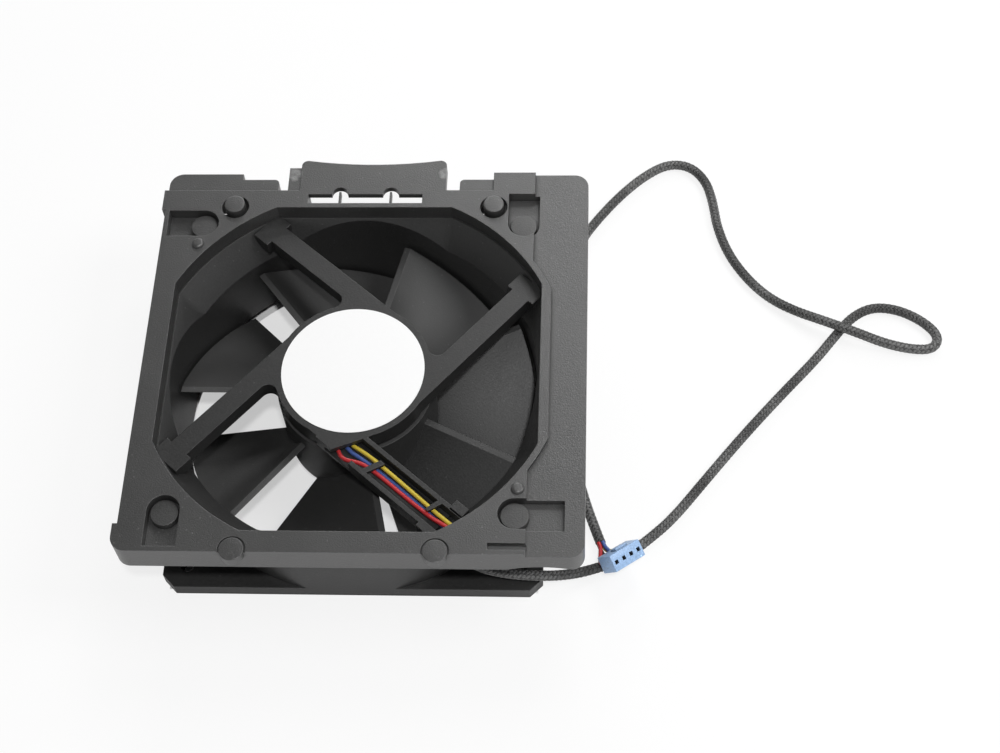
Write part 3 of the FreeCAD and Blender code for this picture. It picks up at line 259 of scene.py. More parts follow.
# %% [markdown]
# ## The lamps
#
# The blades' shadows on the ground are sharp and lie a little behind them, so the key lamp is small and hangs
# overhead, a little towards the viewer and to the right. A sun lamp would give sharp shadows too, but a
# studio lamp is near, so its shadows spread with the distance, and an area lamp does that. Three soft square
# lamps stand on the right and behind: their sheen makes the bracket and the blades paler towards that side.

# %% Lamps
MIDDLE = (0.02, 0.0, 0.03)
LAMPS = {
    "key_lamp": {"place": (0.18, -0.49, 1.20), "width": 0.07, "watts": 7.1},
    "right_softbox": {"place": (0.68, 0.0, 0.74), "width": 0.40, "watts": 3.6},
    "rear_softbox": {"place": (0.26, 0.56, 0.82), "width": 0.35, "watts": 2.2},
    "low_softbox": {"place": (-0.05, 0.88, 0.50), "width": 0.35, "watts": 2.7},
}


def softbox(name, place, width, watts):
    """A square lamp that faces the middle of the fan."""
    lamp = bpy.data.lights.new(name, "AREA")
    lamp.shape = "SQUARE"
    lamp.size = width
    lamp.energy = watts
    box = bpy.data.objects.new(name, lamp)
    bpy.context.scene.collection.objects.link(box)
    box.location = place
    box.rotation_euler = (Vector(MIDDLE) - Vector(place)).to_track_quat("-Z", "Y").to_euler()


for name, lamp in LAMPS.items():
    softbox(name, **lamp)

# %% [markdown]
# ## The room
#
# Beyond the floor the camera sees the world, which is white to it as the floor is. For light it is a dim
# room that fills the shadows a little. Reflections see its walls white, up to a low height, and its ceiling
# dim, because black plastic under a white ceiling would look grey.

# %% Room
ROOM_LIGHT = 0.10
WALL_TOP, WALL_FADE = 0.35, 0.15


def light_room(tree, sky):
    """White for the camera, white walls for reflections and a dim light for the rest."""
    sky.inputs["Color"].default_value = (1.0, 1.0, 1.0, 1.0)
    rays = add_node(tree, "ShaderNodeLightPath")
    direction = add_node(tree, "ShaderNodeTexCoord")
    parts = add_node(tree, "ShaderNodeSeparateXYZ")
    link(tree, (direction.outputs["Generated"], parts.inputs[0]))
    wall = ranged(tree, parts.outputs["Z"], WALL_TOP, WALL_FADE)
    white = maths(tree, "MAXIMUM", rays.outputs["Is Camera Ray"],
                  maths(tree, "MULTIPLY", mirror_rays(tree, rays), wall))
    link(tree, (ranged(tree, white, 0.0, 1.0, ROOM_LIGHT, 1.0), sky.inputs["Strength"]))


world = bpy.data.worlds.new("studio")
world.use_nodes = True
bpy.context.scene.world = world
light_room(world.node_tree, world.node_tree.nodes["Background"])
bpy.context.scene.view_settings.view_transform = "Standard"
print("room light:", ROOM_LIGHT)

# %% [markdown]
# ## Black plastic
#
# The bracket, the housing, the blades and the rivets are black plastic from different moulds. The bracket has
# a spark-eroded grain, the housing is smoother and the blades are satin. Flat black would look like a
# cut-out, so each finish is put together from small marks that real mouldings have, and painted shade in its
# corners. The first ones: pigment that drifts between two shades, and edges that handling has rubbed a shade
# paler. The Bevel node rounds the normal at an edge, so where it differs from the true normal there is an
# edge.

# %% Drifting shade and rubbed edges


def grey(level):
    """A black or grey that is slightly warm."""
    return (level, level, level * 0.99)


def drifting_shade(tree, place, dark, pale):
    drift = add_node(tree, "ShaderNodeTexNoise", {"Scale": 55.0, "Detail": 3.0, "Roughness": 0.6})
    shade = colour_mix(tree, dark, pale)
    link(tree, (place, drift.inputs["Vector"]), (drift.outputs["Fac"], shade.inputs[0]))
    return shade.outputs[2]


def edge_wear(tree, rounded, most):
    """1 on flat faces, rising to the most at an edge."""
    flat = add_node(tree, "ShaderNodeNewGeometry")
    match = add_node(tree, "ShaderNodeVectorMath", operation="DOT_PRODUCT")
    link(tree, (rounded, match.inputs[0]), (flat.outputs["True Normal"], match.inputs[1]))
    return ranged(tree, match.outputs["Value"], 1.0, 0.75, 1.0, most)


print("edge wear and shade ready")

# %% [markdown]
# A used fan has specks of dust on its faces. The cells of a Voronoi texture give the specks: only the points
# next to a cell's middle count. The corners get a painted shade: the Ambient Occlusion node finds them, since
# it tells how much of the space round a point is open, and there the colour is darkened and the roughness
# raised.

# %% Dust and painted corner shade
CORNER_REACH = 1.6 * MM
# the colour in the corners falls to the painted shade, and the roughness rises by the dullness
DUST_SHADE, PAINTED_CORNER_SHADE, CORNER_DULLNESS = 2.2, 0.1, 0.45


def dust(tree, place):
    """1 between the specks, paler on them."""
    specks = add_node(tree, "ShaderNodeTexVoronoi", {"Scale": 320.0})
    link(tree, (place, specks.inputs["Vector"]))
    return ranged(tree, specks.outputs["Distance"], 0.05, 0.11, DUST_SHADE, 1.0)


def painted_corner_shade(tree):
    """1 on open faces, falling to a painted shade in the corners."""
    corner = add_node(tree, "ShaderNodeAmbientOcclusion", {"Distance": CORNER_REACH}, samples=4)
    return ranged(tree, corner.outputs["AO"], 0.35, 0.9, PAINTED_CORNER_SHADE, 1.0)


print("dust and painted_shade ready")

# %% [markdown]
# The finish itself adds a fine grain. One noise serves as bump, as a change of roughness and as a slight
# change of shade, because on real grain all three go together.

# %% Moulded plastic
GRAIN_SHADES = (0.60, 1.42)


def moulded(name, dark, pale, roughness, grain_size, relief, edge=0.3 * MM, edge_shade=1.5, gloss=0.5):
    """Moulded plastic: drifting shade, fine grain, dust, paler edges, and painted shade in duller corners."""
    material, tree, shader = start_material(name)
    shader.inputs["Specular IOR Level"].default_value = gloss
    place = object_place(tree)
    grain_noise = add_node(tree, "ShaderNodeTexNoise",
                           {"Scale": 1.0 / grain_size, "Detail": 2.0, "Roughness": 0.6})
    grain = grain_noise.outputs["Fac"]
    rounded = add_node(tree, "ShaderNodeBevel", {"Radius": edge}, samples=6).outputs[0]
    # painted shade: the Ambient Occlusion node darkens the corners' colour and dulls them
    corner_shade = painted_corner_shade(tree)
    marks = maths(tree, "MULTIPLY", ranged(tree, grain, 0.0, 1.0, *GRAIN_SHADES), dust(tree, place))
    # rubbed edges, times the painted shade in the corners
    worn_and_shaded = maths(tree, "MULTIPLY", corner_shade, edge_wear(tree, rounded, edge_shade))
    shade = drifting_shade(tree, place, dark, pale)
    tinted = add_node(tree, "ShaderNodeVectorMath", operation="SCALE")
    dull = maths(tree, "ADD", ranged(tree, grain, 0.0, 1.0, roughness - 0.1, roughness + 0.1),
                 maths(tree, "MULTIPLY_ADD", corner_shade, -CORNER_DULLNESS, CORNER_DULLNESS))
    bump = add_node(tree, "ShaderNodeBump", {"Strength": 0.7, "Distance": relief})
    link(tree, (place, grain_noise.inputs["Vector"]), (shade, tinted.inputs[0]),
         (maths(tree, "MULTIPLY", marks, worn_and_shaded), tinted.inputs["Scale"]),
         (tinted.outputs[0], shader.inputs["Base Color"]), (dull, shader.inputs["Roughness"]),
         (grain, bump.inputs["Height"]), (rounded, bump.inputs["Normal"]),
         (bump.outputs[0], shader.inputs["Normal"]))
    return material


bracket_plastic = moulded("bracket_plastic", grey(0.030), grey(0.052), 0.38, 0.45 * MM, 0.11 * MM, gloss=1.0)
housing_plastic = moulded("housing_plastic", grey(0.019), grey(0.027), 0.42, 0.6 * MM, 0.07 * MM, gloss=0.6)
blade_plastic = moulded("blade_plastic", grey(0.021), grey(0.030), 0.58, 0.6 * MM, 0.07 * MM, gloss=0.9)
rivet_plastic = moulded("rivet_plastic", grey(0.034), grey(0.045), 0.42, 0.5 * MM, 0.1 * MM, gloss=0.8)
print("black plastics:", bracket_plastic.name, housing_plastic.name, blade_plastic.name, rivet_plastic.name)

# %% [markdown]
# The two ends of the bracket's grip tab are rubbed pale. They could be painted, but a distance from a point,
# broken up by a noise, needs no picture.

# %% Rubbed ends of the grip tab
TAB_SCUFFS = [((-24.4, 72.5, 43.1), 4.5), ((26.4, 72.5, 43.6), 4.0)]
SCUFF_SHADE = 0.22


def add_scuffs(material, places, level):
    """Pale rubbed patches round places given as centre and reach in millimetres."""
    tree = material.node_tree
    shader = tree.nodes["Principled BSDF"]
    unworn = shader.inputs["Base Color"].links[0].from_socket
    place = object_place(tree)
    noise = add_node(tree, "ShaderNodeTexNoise", {"Scale": 420.0, "Detail": 4.0})
    pale = colour_mix(tree, grey(level), grey(level))
    near = 0.0
    for centre, reach in places:
        distance = add_node(tree, "ShaderNodeVectorMath", {1: Vector(centre) * MM}, operation="DISTANCE")
        link(tree, (place, distance.inputs[0]))
        close = ranged(tree, distance.outputs["Value"], reach * MM, 0.4 * reach * MM)
        near = maths(tree, "MAXIMUM", close, near)
    wear_and_sheen = ranged(tree, maths(tree, "MULTIPLY", near, noise.outputs["Fac"]), 0.30, 0.55, 0.0, 0.8)
    link(tree, (place, noise.inputs["Vector"]), (wear_and_sheen, pale.inputs[0]), (unworn, pale.inputs[6]),
         (pale.outputs[2], shader.inputs["Base Color"]))


add_scuffs(bracket_plastic, TAB_SCUFFS, SCUFF_SHADE)
print("rubbed patches:", len(TAB_SCUFFS))

# %% [markdown]
# The connector, the motor's insulators, the chips on its board and the bonded magnet are mouldings as well,
# so the same function serves them with other colours. The connector is light blue nylon.

# %% Other mouldings
nylon = moulded("connector_nylon", (0.32, 0.49, 0.75), (0.36, 0.53, 0.80), 0.40, 0.5 * MM, 0.03 * MM,
                edge=0.2 * MM, edge_shade=1.12)
insulation = moulded("insulator_nylon", (0.74, 0.71, 0.62), (0.80, 0.77, 0.68), 0.45, 0.6 * MM, 0.04 * MM,
                     edge_shade=1.05)
chip_plastic = moulded("chip_plastic", grey(0.016), grey(0.024), 0.55, 0.3 * MM, 0.04 * MM)
ferrite = moulded("bonded_ferrite", (0.050, 0.046, 0.044), (0.070, 0.066, 0.062), 0.65, 0.4 * MM, 0.1 * MM)
print("other mouldings:", nylon.name, insulation.name, chip_plastic.name, ferrite.name)

# %% [markdown]
# ## Wires and label
#
# The wires' insulation is smooth and glossy, and the label is blank paper with a faint fibre. Both are one
# colour to the eye, but a fine noise in shade and roughness keeps them from looking like paint on a screen.

# %% Wire insulation and label paper


def uneven(name, colour, least, noise_scale, detail, roughness):
    """A finish whose shade and roughness change a little with one fine noise."""
    material, tree, shader = start_material(name)
    noise = add_node(tree, "ShaderNodeTexNoise", {"Scale": noise_scale, "Detail": detail})
    shade = colour_mix(tree, [level * least for level in colour], colour)
    link(tree, (object_place(tree), noise.inputs["Vector"]), (noise.outputs["Fac"], shade.inputs[0]),
         (shade.outputs[2], shader.inputs["Base Color"]),
         (ranged(tree, noise.outputs["Fac"], 0.0, 1.0, *roughness), shader.inputs["Roughness"]))
    return material


def insulated(name, colour):
    return uneven(name, colour, 0.82, 900.0, 2.0, (0.28, 0.45))


WIRES = {
    "red": insulated("red_insulation", (0.50, 0.030, 0.035)),
    "yellow": insulated("yellow_insulation", (0.62, 0.48, 0.05)),
    "blue": insulated("blue_insulation", (0.06, 0.11, 0.33)),
    "black": insulated("black_insulation", (0.018, 0.018, 0.018)),
}
label_paper = uneven("label_paper", (0.92, 0.92, 0.92), 0.97, 1400.0, 4.0, (0.5, 0.65))
board_mask = insulated("solder_mask", (0.02, 0.17, 0.07))
print("wires:", [material.name for material in WIRES.values()], "label:", label_paper.name)

# %% [markdown]
# ## Metals of the motor
#
# The metals inside are ground, plated, turned or wound. Ground metal has fine scratches along one direction:
# a noise that a Mapping node stretches gives them, where a picture of scratches would need an unwrapped mesh.

# %% Metals


def metal(name, colour, roughness, stretch=(1.0, 1.0, 1.0), relief=0.02 * MM):
    """Metal with fine marks, drawn out along the axes that have a small factor."""
    material, tree, shader = start_material(name)
    shader.inputs["Metallic"].default_value = 1.0
    along = add_node(tree, "ShaderNodeMapping", {"Scale": stretch})
    marks = add_node(tree, "ShaderNodeTexNoise", {"Scale": 1500.0, "Detail": 3.0})
    shade = colour_mix(tree, [level * 0.8 for level in colour], colour)
    bump = add_node(tree, "ShaderNodeBump", {"Strength": 0.4, "Distance": relief})
    matt = ranged(tree, marks.outputs["Fac"], 0.0, 1.0, roughness - 0.1, roughness + 0.12)
    link(tree, (object_place(tree), along.inputs["Vector"]), (along.outputs[0], marks.inputs["Vector"]),
         (marks.outputs["Fac"], shade.inputs[0]), (shade.outputs[2], shader.inputs["Base Color"]),
         (matt, shader.inputs["Roughness"]), (marks.outputs["Fac"], bump.inputs["Height"]),
         (bump.outputs[0], shader.inputs["Normal"]))
    return material


ground_steel = metal("ground_steel", (0.56, 0.57, 0.59), 0.28, (1.0, 1.0, 0.05))
plated_steel = metal("plated_steel", (0.60, 0.60, 0.58), 0.38)
turned_brass = metal("turned_brass", (0.78, 0.56, 0.24), 0.30, (1.0, 1.0, 0.1))
wound_copper = metal("wound_copper", (0.62, 0.26, 0.11), 0.34, (0.05, 0.05, 1.0), 0.08 * MM)
tinned = metal("tinned_contact", (0.20, 0.19, 0.18), 0.45)
print("metals:", ground_steel.name, plated_steel.name, turned_brass.name, wound_copper.name, tinned.name)

# %% [markdown]
# ## Smooth copies of the CAD pieces
#
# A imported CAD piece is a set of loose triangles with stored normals. A merged copy without them can share
# its corners, so that round faces shade smoothly while real edges stay sharp. The angle that counts as an
# edge is small for the impeller, whose blades end in a narrow flat band. The copy stands for the CAD node
# and rides on the same body.

# %% Copying a CAD piece
MERGE_DISTANCE = 1e-6
ROUND_BELOW = 25.0


def merged_form(node):
    """The CAD node's triangles with shared corners, ready to be shaped."""
    mesh = frame["nodes"][node].data.copy()
    if mesh.has_custom_normals:
        mesh.attributes.remove(mesh.attributes["custom_normal"])
    form = bmesh.new()
    form.from_mesh(mesh)
    bmesh.ops.remove_doubles(form, verts=form.verts, dist=MERGE_DISTANCE)
    return mesh, form


def place_copy(node, mesh, form, material, degrees):
    """Shade the form, put it in the mesh and let it stand for the CAD node."""
    limit = math.radians(degrees)
    for face in form.faces:
        face.smooth = True
        face.material_index = 0
    for edge in form.edges:
        edge.smooth = len(edge.link_faces) == 2 and edge.calc_face_angle(0.0) < limit
    form.to_mesh(mesh)
    form.free()
    mesh.materials.clear()
    mesh.materials.append(material)
    mesh.name = node + "_finish"
    copy = bpy.data.objects.new(node + "_finish", mesh)
    bpy.context.scene.collection.objects.link(copy)
    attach(copy, frame["nodes"][node]["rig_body"])
    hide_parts(node)
    print(node, len(mesh.polygons), "faces")
    return copy


def smooth_copy(node, material, degrees=ROUND_BELOW):
    mesh, form = merged_form(node)
    return place_copy(node, mesh, form, material, degrees)


print("edges are sharp from", ROUND_BELOW, "degrees")

# %% [markdown]
# The bracket, the housing, the impeller, the rivets and the label are shaded this way, and so are the wires:
# the leads in the open channel and the short tails behind the connector. A wire's section is a polygon, so
# its edges count as round up to a large angle.

# %% Smooth copies
BLADE_EDGE, WIRE_EDGE = 12.0, 60.0
smooth_copy("carrier_bracket", bracket_plastic)
smooth_copy("fan_housing", housing_plastic)
smooth_copy("impeller", blade_plastic, BLADE_EDGE)
smooth_copy("fan_rivets", rivet_plastic)
smooth_copy("hub_label", label_paper)
for colour, material in WIRES.items():
    smooth_copy("lead_" + colour, material, WIRE_EDGE)
    smooth_copy("tail_" + colour, material, WIRE_EDGE)

# %% [markdown]
# ## The connector
#
# A small nylon moulding with four square holes. Its edges are rounded by a bevel. Joining the triangles of
# each flat face first leaves clean edges, and only the long outer ones are bevelled: the holes stay crisp.

# %% Connector
ROUNDING = 0.25 * MM
SHORTEST_ROUNDED = 2.5 * MM
FLAT_WITHIN = math.radians(1.0)
CORNER_FROM = 1.0  # radians
CONNECTOR_EDGE = 30.0


def bevelled_copy(node, material, width):
    mesh, form = merged_form(node)
    bmesh.ops.dissolve_limit(form, angle_limit=FLAT_WITHIN, verts=form.verts, edges=form.edges)
    outer = [edge for edge in form.edges if edge.is_convex and edge.calc_face_angle(0.0) > CORNER_FROM
             and edge.calc_length() > SHORTEST_ROUNDED]
    bmesh.ops.bevel(form, geom=outer, offset=width, segments=2, profile=0.5, affect="EDGES")
    return place_copy(node, mesh, form, material, CONNECTOR_EDGE)


connector = bevelled_copy("connector_housing", nylon, ROUNDING)
terminals = smooth_copy("connector_terminals", tinned)

# %% [markdown]
# ## The motor inside the hub
#
# Yoke, magnet, wound core, bearings and board sit between the hub and the label. They keep their CAD form
# and only get a finish, which shows when the fan is taken apart.

# %% Motor finishes
MOTOR = {
    "rotor_yoke": plated_steel, "rotor_magnet": ferrite, "rotor_shaft": ground_steel,
    "shaft_bush": turned_brass, "preload_washer": ground_steel, "retaining_clip": ground_steel,
    "bearing_outer_rings": ground_steel, "bearing_inner_rings": ground_steel, "bearing_balls": ground_steel,
    "ball_cages": turned_brass, "bearing_tube": turned_brass, "stator_core": plated_steel,
    "insulator_lower": insulation, "insulator_upper": insulation, "stator_coils": wound_copper,
    "circuit_board": board_mask, "board_components": chip_plastic,
}
for node, material in MOTOR.items():
    mesh = frame["nodes"][node].data
    mesh.materials.clear()
    mesh.materials.append(material)
print("motor pieces:", len(MOTOR))

# %% [markdown]
# ## The cable
#
# Four thin wires leave the fan's corner in a dark woven sleeve. The sleeve lies in a long loop on the
# floor, crosses itself and comes back to the connector. A NURBS spline of order 3 passes smoothly inside its
# control points, so a few given points give the lie of a limp cable, where a Bezier curve would need
# handles as well.

# %% Route of the cable
LIE = 1.75
OVER = 5.4
CABLE_ROUTE = [
    (34.9, -55.2, 31.0), (35.8, -56.4, 22.0), (41.0, -57.0, 15.0), (50.0, -57.0, 10.6), (60.0, -56.5, 8.2),
    (69.0, -53.6, 3.4), (77.0, -50.6, LIE), (85.0, -47.2, LIE), (93.0, -40.6, LIE), (101.0, -33.0, LIE),
    (112.0, -18.5, LIE), (124.0, -3.0, LIE), (137.0, 12.6, LIE), (149.2, 26.4, LIE), (156.5, 36.2, LIE),
    (162.4, 43.6, LIE), (169.5, 47.6, LIE), (178.0, 46.6, LIE), (186.0, 42.0, LIE), (190.9, 36.0, LIE),
    (188.8, 31.0, LIE), (182.0, 30.7, LIE), (172.5, 32.3, 3.0), (162.5, 35.4, OVER), (152.5, 39.7, OVER),
    (143.0, 45.2, 3.0), (134.5, 51.4, LIE), (127.3, 59.5, LIE), (121.5, 69.5, LIE), (118.0, 81.0, LIE),
    (116.9, 91.5, LIE), (114.6, 101.0, LIE), (109.0, 107.5, LIE), (101.0, 108.3, LIE), (92.5, 102.7, LIE),
    (84.4, 94.5, LIE), (77.0, 85.0, LIE), (70.5, 75.0, LIE), (67.2, 62.0, LIE), (66.3, 45.0, LIE),
    (66.2, 25.0, LIE), (66.6, 5.0, LIE), (69.0, -12.0, LIE), (72.6, -26.0, LIE), (75.6, -35.2, LIE),
    (78.0, -42.0, 2.2)]


def spline_line(name, route):
    """A smooth line through given control points, in millimetres, as a mesh of its points."""
    curve = bpy.data.curves.new(name, "CURVE")
    curve.dimensions = "3D"
    spline = curve.splines.new("NURBS")
    spline.points.add(len(route) - 1)
    for point, place in zip(spline.points, route):
        point.co = (*(Vector(place) * MM), 1.0)
    spline.order_u = 3
    spline.use_endpoint_u = True
    spline.resolution_u = 8
    item = bpy.data.objects.new(name, curve)
    bpy.context.scene.collection.objects.link(item)
    bpy.context.view_layer.update()
    line = bpy.data.meshes.new_from_object(item.evaluated_get(bpy.context.evaluated_depsgraph_get()))
    bpy.data.objects.remove(item)
    return line


cable_line = spline_line("cable_route", CABLE_ROUTE)

# %% [markdown]
# ## The sleeve's yarn
#
# The sleeve is woven from dark yarn. Each band of the weave gets a shade of its own, which it carries as an
# attribute, because one colour for all would hide the weave. A slow noise makes the cable paler in patches,
# a painted sheen, and a fine one gives the yarn its fibre.

# %% Sleeve fibre


def fibre(name, dark, pale):
    """Dark yarn whose shade comes from an attribute that each band carries, paler in patches of painted
    sheen.
    """
    material, tree, shader = start_material(name)
    band = add_node(tree, "ShaderNodeAttribute", attribute_name="band_shade")
    place = object_place(tree)
    yarn = add_node(tree, "ShaderNodeTexNoise", {"Scale": 2600.0, "Detail": 2.0})
    patches = add_node(tree, "ShaderNodeTexNoise", {"Scale": 55.0, "Detail": 1.0})
    shade = colour_mix(tree, grey(dark), grey(pale))
    # painted sheen: a slow noise makes the yarn paler in patches and darker between them
    sheen_patches = ranged(tree, patches.outputs["Fac"], 0.3, 0.7, 0.3, 1.6)
    # each band's own shade, times the painted sheen
    wear_and_sheen = maths(tree, "MULTIPLY", band.outputs["Fac"], sheen_patches)
    mixed = maths(tree, "MULTIPLY", wear_and_sheen, maths(tree, "ADD", yarn.outputs["Fac"], 0.5))
    bump = add_node(tree, "ShaderNodeBump", {"Strength": 0.5, "Distance": 0.1 * MM})
    link(tree, (place, yarn.inputs["Vector"]), (place, patches.inputs["Vector"]), (mixed, shade.inputs[0]),
         (shade.outputs[2], shader.inputs["Base Color"]),
         (ranged(tree, yarn.outputs["Fac"], 0.0, 1.0, 0.34, 0.55), shader.inputs["Roughness"]),
         (yarn.outputs["Fac"], bump.inputs["Height"]), (bump.outputs[0], shader.inputs["Normal"]))
    return material


# the pale end is reached in the patches of painted sheen
sleeve_fibre = fibre("sleeve_fibre", 0.022, 0.15)
print("fibre:", sleeve_fibre.name)

# %% [markdown]
# ## The woven sleeve
#
# A braid is two sets of bands that wind round the cable in opposite ways and pass over and under each other.
# It could be a bump, but the bands make the cable's outline knobbly, so they are geometry. Geometry Nodes
# suit this, because every band follows the same line: copy the line once per band, push each point out
# round the line by an angle that grows with the distance along it, and give the result a flat section.
# All the bands of one way go up where those of the other way go down, which is the whole weave.

# %% Angle and direction of a band


def vectors(tree, operation, *values):
    """A Vector Math node fed by sockets; gives its vector output."""
    node = add_node(tree, "ShaderNodeVectorMath", operation=operation)
    for key, value in zip((0, "Scale") if operation == "SCALE" else (0, 1), values):
        tree.links.new(value, node.inputs[key])
    return node.outputs[0]


def band_angle(tree, inputs, index):
    """How far round the line each point of a band lies, and which way the band winds: 1 or -1."""
    along = add_node(tree, "GeometryNodeSplineParameter")
    turns = maths(tree, "DIVIDE", along.outputs["Length"], inputs["Pitch"])
    turned = maths(tree, "MULTIPLY", turns, math.tau)
    first = maths(tree, "LESS_THAN", index, inputs["Bands each way"])
    way = maths(tree, "MULTIPLY_ADD", first, 2.0, -1.0)
    start = maths(tree, "MULTIPLY", maths(tree, "DIVIDE", index, inputs["Bands each way"]), math.tau)
    return maths(tree, "MULTIPLY_ADD", way, turned, start), way, turned


def outward(tree, angle):
    """The direction square to the line at an angle round it."""
    ahead = add_node(tree, "GeometryNodeInputTangent").outputs[0]
    up = add_node(tree, "GeometryNodeInputNormal").outputs[0]
    side = vectors(tree, "CROSS_PRODUCT", ahead, up)
    return vectors(tree, "ADD", vectors(tree, "SCALE", up, maths(tree, "COSINE", angle)),
                   vectors(tree, "SCALE", side, maths(tree, "SINE", angle)))


print("band angle ready")

# %% [markdown]
# Moving the points changes the line's own normals, so each point first stores its outward direction, and the
# moved band is turned to it. The shade is stored as well: darker for the bands of one way, with a little
# chance.

# %% Wound bands


def stored(tree, geometry, name, kind, value):
    """Keep a value on the points under a name."""
    node = add_node(tree, "GeometryNodeStoreNamedAttribute", {"Name": name}, data_type=kind, domain="POINT")
    link(tree, (geometry, node.inputs["Geometry"]), (value, node.inputs["Value"]))
    return node.outputs["Geometry"]


def band_shade(tree, index, way):
    chance = add_node(tree, "FunctionNodeRandomValue", data_type="FLOAT")
    chance.inputs["Seed"].default_value = 4
    link(tree, (index, chance.inputs["ID"]))
    return maths(tree, "MULTIPLY_ADD", chance.outputs[1], 0.4, maths(tree, "MULTIPLY_ADD", way, -0.22, 0.3))


def wound_bands(tree, inputs, even_line):
    """Copies of the line, wound round it over and under each other, with flat sides facing outwards."""
    copies = add_node(tree, "GeometryNodeDuplicateElements", domain="SPLINE")
    link(tree, (even_line, copies.inputs["Geometry"]),
         (maths(tree, "MULTIPLY", inputs["Bands each way"], 2.0), copies.inputs["Amount"]))
    index = copies.outputs["Duplicate Index"]
    angle, way, turned = band_angle(tree, inputs, index)
    weave = maths(tree, "COSINE", maths(tree, "MULTIPLY", turned, inputs["Bands each way"]))
    rise = maths(tree, "MULTIPLY", maths(tree, "MULTIPLY", weave, way), inputs["Weave height"])
    out = outward(tree, angle)
    bands = stored(tree, copies.outputs["Geometry"], "outward", "FLOAT_VECTOR", out)
    bands = stored(tree, bands, "band_shade", "FLOAT", band_shade(tree, index, way))
    moved = add_node(tree, "GeometryNodeSetPosition")
    push = vectors(tree, "SCALE", out, maths(tree, "ADD", inputs["Sleeve radius"], rise))
    facing = add_node(tree, "GeometryNodeSetCurveNormal", mode="FREE")
    kept = add_node(tree, "GeometryNodeInputNamedAttribute", {"Name": "outward"}, data_type="FLOAT_VECTOR")
    link(tree, (bands, moved.inputs["Geometry"]), (push, moved.inputs["Offset"]),
         (moved.outputs[0], facing.inputs["Curve"]), (kept.outputs["Attribute"], facing.inputs["Normal"]))
    return facing.outputs[0]


print("wound bands ready")

# %% [markdown]
# A band's section is a circle of six corners, pressed flat. A plain tube fills the cable inside the bands, so
# that no gap in the weave shows through.

# %% Sections


def band_section(tree, inputs):
    section = add_node(tree, "GeometryNodeCurvePrimitiveCircle", {"Resolution": 6, "Radius": 0.5})
    scale = add_node(tree, "ShaderNodeCombineXYZ", {"Z": 1.0})
    flat = add_node(tree, "GeometryNodeTransform")
    link(tree, (inputs["Band thickness"], scale.inputs["X"]), (inputs["Band width"], scale.inputs["Y"]),
         (section.outputs["Curve"], flat.inputs["Geometry"]), (scale.outputs[0], flat.inputs["Scale"]))
    return flat.outputs[0]


def core_section(tree, inputs):
    section = add_node(tree, "GeometryNodeCurvePrimitiveCircle", {"Resolution": 10})
    radius = maths(tree, "SUBTRACT", inputs["Sleeve radius"], inputs["Weave height"])
    link(tree, (radius, section.inputs["Radius"]))
    return section.outputs["Curve"]


def swept(tree, line, section):
    """A closed tube of the section along the line."""
    tube = add_node(tree, "GeometryNodeCurveToMesh", {"Fill Caps": True})
    link(tree, (line, tube.inputs["Curve"]), (section, tube.inputs["Profile Curve"]))
    return tube.outputs[0]


print("sections ready")

# %% [markdown]
# The tree has a named input for each size of the braid, so that another cable can be woven with other
# numbers. It ends in Realize Instances and Set Material, so that what comes out is one mesh with its finish.

# %% Braid nodes
BRAID_INPUTS = [("Bands each way", "NodeSocketInt"), ("Sleeve radius", "NodeSocketFloat"),
                ("Pitch", "NodeSocketFloat"), ("Band width", "NodeSocketFloat"),
                ("Band thickness", "NodeSocketFloat"), ("Weave height", "NodeSocketFloat"),
                ("Step", "NodeSocketFloat"), ("Finish", "NodeSocketMaterial")]


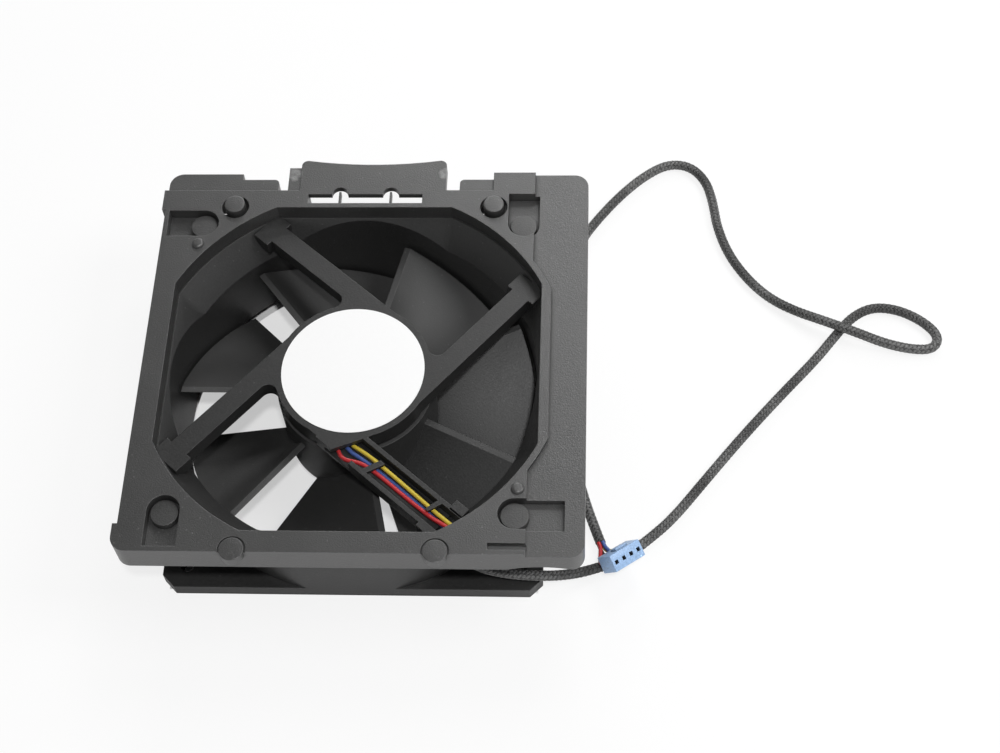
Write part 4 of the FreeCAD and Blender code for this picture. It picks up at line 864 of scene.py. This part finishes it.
def braid_nodes():
    tree = bpy.data.node_groups.new("braided_sleeve", "GeometryNodeTree")
    tree.interface.new_socket("Geometry", in_out="INPUT", socket_type="NodeSocketGeometry")
    for name, kind in BRAID_INPUTS:
        tree.interface.new_socket(name, in_out="INPUT", socket_type=kind)
    tree.interface.new_socket("Geometry", in_out="OUTPUT", socket_type="NodeSocketGeometry")
    inputs = add_node(tree, "NodeGroupInput").outputs
    result = add_node(tree, "NodeGroupOutput").inputs[0]
    line = add_node(tree, "GeometryNodeMeshToCurve")
    even = add_node(tree, "GeometryNodeResampleCurve", mode="LENGTH")
    link(tree, (inputs["Geometry"], line.inputs["Mesh"]), (line.outputs[0], even.inputs["Curve"]),
         (inputs["Step"], even.inputs["Length"]))
    core = swept(tree, even.outputs[0], core_section(tree, inputs))
    woven = swept(tree, wound_bands(tree, inputs, even.outputs[0]), band_section(tree, inputs))
    both = add_node(tree, "GeometryNodeJoinGeometry")
    real = add_node(tree, "GeometryNodeRealizeInstances")
    finish = add_node(tree, "GeometryNodeSetMaterial")
    link(tree, (core, both.inputs[0]), (woven, both.inputs[0]), (both.outputs[0], real.inputs[0]),
         (real.outputs[0], finish.inputs["Geometry"]), (inputs["Finish"], finish.inputs["Material"]),
         (finish.outputs[0], result))
    return tree


braid_tree = braid_nodes()
print("braid nodes:", len(braid_tree.nodes))

# %% [markdown]
# A modifier runs the tree on the cable's line. Its inputs are set by each socket's identifier, and the result
# is kept as a plain mesh, which needs no modifier any more. The connector, with its four wire tails, sits on
# the sleeve's end.

# %% Weave the sleeve
BRAID = {"Bands each way": 6, "Sleeve radius": 1.45 * MM, "Pitch": 8.4 * MM, "Band width": 0.98 * MM,
         "Band thickness": 0.32 * MM, "Weave height": 0.08 * MM, "Step": 0.5 * MM, "Finish": sleeve_fibre}


def grown(name, mesh, tree, values):
    """Run a node tree on a mesh and keep the result as a plain mesh object."""
    seed = bpy.data.objects.new(name + "_seed", mesh)
    bpy.context.scene.collection.objects.link(seed)
    nodes = seed.modifiers.new("nodes", "NODES")
    nodes.node_group = tree
    for socket in tree.interface.items_tree:
        if socket.item_type == "SOCKET" and socket.in_out == "INPUT" and socket.name in values:
            nodes[socket.identifier] = values[socket.name]
    bpy.context.view_layer.update()
    result = bpy.data.meshes.new_from_object(seed.evaluated_get(bpy.context.evaluated_depsgraph_get()))
    bpy.data.objects.remove(seed)
    item = bpy.data.objects.new(name, result)
    bpy.context.scene.collection.objects.link(item)
    return item


sleeve = grown("woven_sleeve", cable_line, braid_tree, BRAID)
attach(sleeve, "frame")
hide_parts("cable_sleeve")
print("sleeve faces:", len(sleeve.data.polygons))
